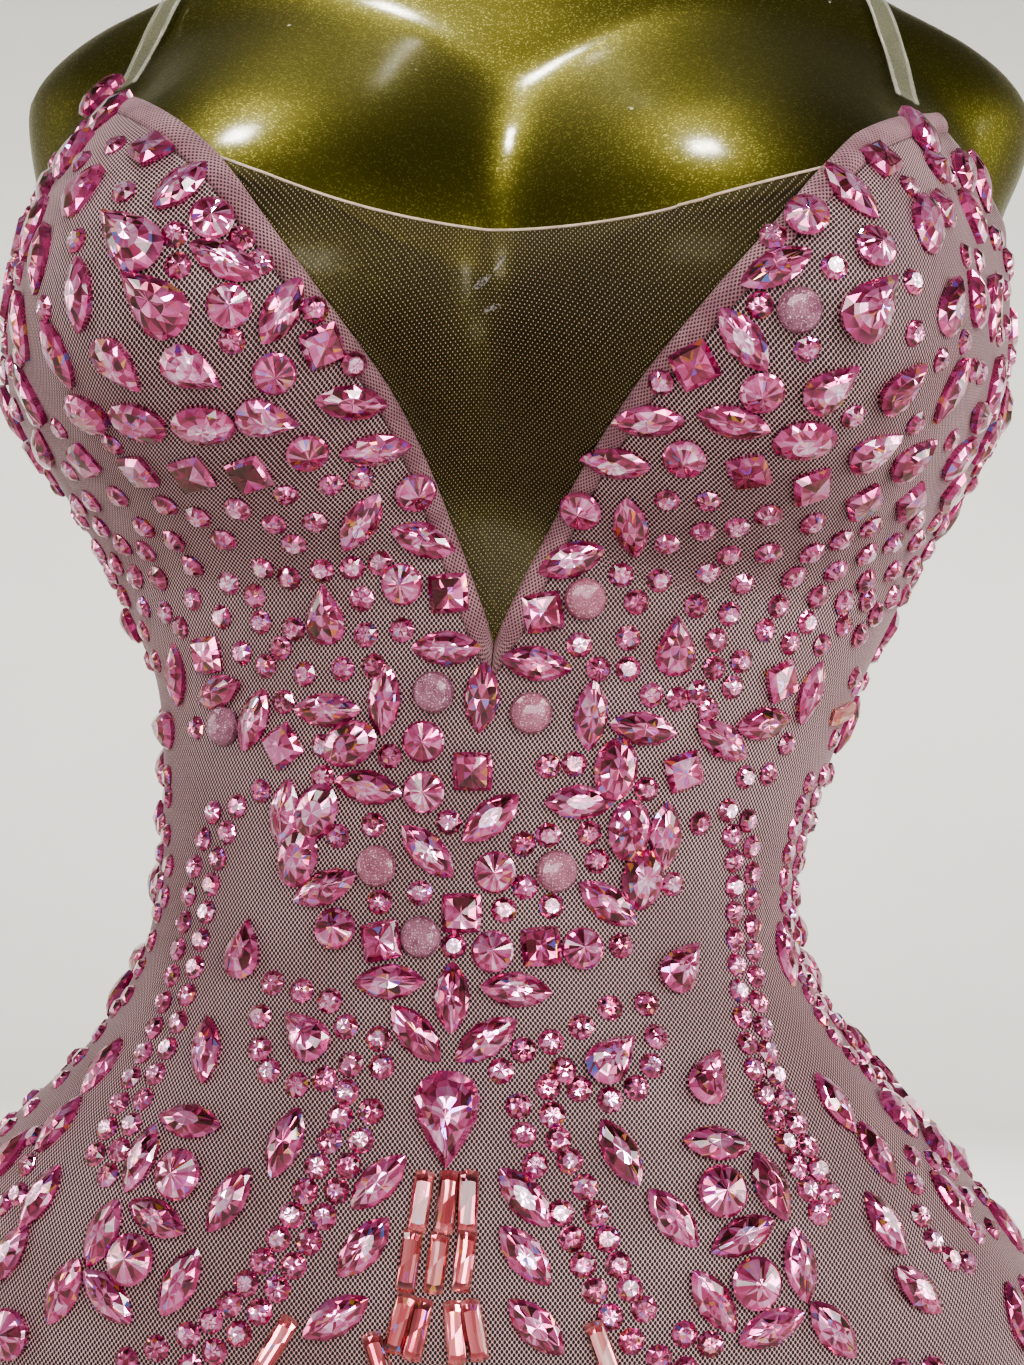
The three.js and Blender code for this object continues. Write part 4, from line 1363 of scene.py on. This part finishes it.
def top_edge(angle):
    """The height of the cloth's top edge at an angle from the front."""
    columns = FRONT_LINE if abs(angle) < 90 else BACK_LINE
    turn = angle if abs(angle) < 90 else angle % 360
    k = next((i for i, row in enumerate(columns) if row[0] > turn), len(columns) - 1)
    return columns[k][1]


FRONT_LINE, BACK_LINE = front_columns(), back_columns()

# Strands outside the photograph, as lines of (angle, height): along the leg openings, down the back
# and round its top edge
HIDDEN_STRANDS = [
    [(30, 238), (38, 200), (52, 182), (75, 196), (92, 204), (110, 194), (128, 160), (142, 132), (153, 108)],
    [(16, 214), (20, 180), (27, 142), (36, 134), (52, 160)],
    [(92, 530), (110, 522), (130, 510), (150, 499), (180, 494)],
    [(118, 515), (128, 470), (146, 430), (156, 390), (150, 340), (132, 290), (118, 240), (122, 190)],
    [(165, 492), (160, 450), (168, 410), (172, 360), (164, 310), (150, 260), (142, 210), (150, 160)],
    [(100, 520), (98, 470), (104, 420), (112, 380), (108, 340), (98, 300), (92, 250), (96, 210)],
]


DEGREE_MM = 2  # a degree round the torso is about this long
HIDDEN_STEP, HIDDEN_SIDE = 4.4, 3.0
SCATTER_TRIES = 9000


def set_hidden():
    """Dresses the sides, the back and what is below the picture, as the front is dressed."""
    for line in HIDDEN_STRANDS:
        for side in SIDES:
            unrolled = [(angle * DEGREE_MM, z) for angle, z in line]
            for k, (p, way) in enumerate(along_line(unrolled, HIDDEN_STEP)):
                p += Vector((-way.y, way.x)) * HIDDEN_SIDE * (1 if k % 2 else -1)
                angle = side * p.x / DEGREE_MM
                if abs(angle) > 180:
                    continue
                place, out, up = on_cloth(angle, p.y)
                if not in_picture(place, out):
                    BED.put("flatback", place, out, up)
    names, weights = zip(*FILL)
    for _ in range(SCATTER_TRIES):
        angle = DRAW.uniform(-180, 180)
        z = DRAW.uniform(GUSSET_Z + 8, SIDE_TOP + 12)
        name = DRAW.choices(names, weights)[0]
        gap = DRAW.choice(SCATTER_GAPS)
        turn = DRAW.uniform(0, math.pi)
        margin = STONES[name]["size"][1] + 2
        if not leg_height(angle) + margin < z < top_edge(angle) - margin:
            continue
        place, out, up = on_cloth(angle, z)
        if not in_picture(place, out):
            aside = up.cross(out)
            BED.put(name, place, out, up * math.sin(turn) + aside * math.cos(turn), 1.0, gap)


# How often the scatter draws each kind
FILL = [
    ("flatback", 46), ("chaton", 16), ("navette", 18), ("rivoli", 7), ("square", 6), ("pear", 8),
    ("oval", 3), ("crackle", 3), ("baguette", 2),
]


LEAN = 0.09  # how far a stone may lean, as a share of its upright


def make_stones(name):
    """All the stones of one kind, as one piece."""
    kind = STONES[name]
    bm = bmesh.new()
    cut_stone(bm, kind)
    pattern = bm.verts[:] + bm.edges[:] + bm.faces[:]
    luck = bm.faces.layers.float["luck"]
    for place, out, along, scale in BED.set[name]:
        copy = bmesh.ops.duplicate(bm, geom=pattern)["geom"]
        verts = [item for item in copy if isinstance(item, bmesh.types.BMVert)]
        lot = DRAW.random()
        for item in copy:
            if isinstance(item, bmesh.types.BMFace):
                item[luck] = lot
        leant = (out + Vector([DRAW.uniform(-LEAN, LEAN) for _ in range(3)])).normalized()
        along = (along - leant * along.dot(leant)).normalized()
        frame_of = Matrix((along, leant.cross(along), leant)).transposed().to_4x4()
        moved_there = Matrix.Translation(place) @ frame_of @ Matrix.Scale(scale, 4)
        bmesh.ops.transform(bm, matrix=moved_there, verts=verts)
    bmesh.ops.delete(bm, geom=[item for item in pattern if isinstance(item, bmesh.types.BMVert)])
    piece = finished(bm, name + "_stones", {"crackle": FROST, "baguette": SALMON}.get(name, GLASS), False)


set_photographed()
set_hidden()
for kind_name in STONES:
    make_stones(kind_name)


def lamp(name, place, aim, size, power, colour=(1, 1, 1)):
    data = bpy.data.lights.new(name, "AREA")
    data.shape, data.size, data.size_y = "RECTANGLE", size[0], size[1]
    data.energy, data.color = power, colour
    light = bpy.data.objects.new(name, data)
    light.location = place
    light.visible_camera = False
    light.rotation_euler = (Vector(aim) - Vector(place)).to_track_quat("-Z", "Y").to_euler()
    bpy.context.scene.collection.objects.link(light)


lamp("ceiling", (-0.24, -0.09, 2.2), (0, -0.1, 0.55), (0.14, 0.14), 10, (1.0, 0.98, 0.94))
lamp("key", (-0.9, -1.7, 1.7), (0, 0, 0.3), (0.7, 0.5), 9.5, (1.0, 0.98, 0.95))
lamp("second", (1.1, -1.6, 1.3), (0, 0, 0.25), (0.5, 0.4), 14, (1.0, 0.98, 0.95))
lamp("front", (0.3, -1.9, 0.45), (0, 0, 0.2), (1.0, 0.4), 9.5)
lamp("left", (-1.5, -0.2, 0.6), (0, 0, 0.35), (0.35, 1.2), 5)
lamp("right", (1.5, -0.2, 0.6), (0, 0, 0.35), (0.35, 1.2), 9)
lamp("rear", (0.0, 1.5, 1.2), (0, 0, 0.35), (1.2, 0.5), 5)
lamp("wall", (0.0, 0.9, 0.8), (0, 2.6, 0.7), (1.8, 0.3), 30)


FLOOR_RADIUS, COVE_RADIUS, WALL_TOP = 2.0, 0.6, 2.8  # metres


def make_ground():
    """A round pale floor that curves up into a wall all round it."""
    bm = bmesh.new()
    profile = [(0, 0), (0.5 * FLOOR_RADIUS, 0), (FLOOR_RADIUS, 0)]
    for k in range(1, 13):
        turn = math.radians(90 * k / 12)
        profile.append((FLOOR_RADIUS + COVE_RADIUS * math.sin(turn), COVE_RADIUS * (1 - math.cos(turn))))
    profile.append((FLOOR_RADIUS + COVE_RADIUS, WALL_TOP))
    verts = [bm.verts.new((x, 0, z)) for x, z in profile]
    edges = [bm.edges.new(pair) for pair in zip(verts, verts[1:])]
    bmesh.ops.spin(
        bm, geom=verts + edges, cent=(0, 0, 0), axis=(0, 0, 1), dvec=(0, 0, 0), angle=2 * math.pi,
        steps=96, use_merge=True,
    )
    bmesh.ops.remove_doubles(bm, verts=bm.verts, dist=0.0001)
    bmesh.ops.recalc_face_normals(bm, faces=bm.faces)
    bmesh.ops.reverse_faces(bm, faces=bm.faces)
    data = bpy.data.meshes.new("ground")
    bm.to_mesh(data)
    bm.free()
    for face in data.polygons:
        face.use_smooth = True
    g = Graph("pale paper")
    tone = g.noise(300.0, 2.0)
    g.look(Base_Color=g.blend(tone, (0.60, 0.585, 0.55), (0.66, 0.645, 0.61)), Roughness=0.85)
    g.look(Normal=g.bump(g.noise(1.2, 3.0), 0.1, 0.2))
    data.materials.append(g.material)
    ground = bpy.data.objects.new("ground", data)
    bpy.context.scene.collection.objects.link(ground)


make_ground()

world = bpy.data.worlds.new("studio")
world.use_nodes = True
world.node_tree.nodes["Background"].inputs[0].default_value = (0.72, 0.72, 0.74, 1)
world.node_tree.nodes["Background"].inputs[1].default_value = 0.16
bpy.context.scene.world = world
bpy.context.scene.view_settings.view_transform = "AgX"
bpy.context.scene.view_settings.look = "AgX - High Contrast"
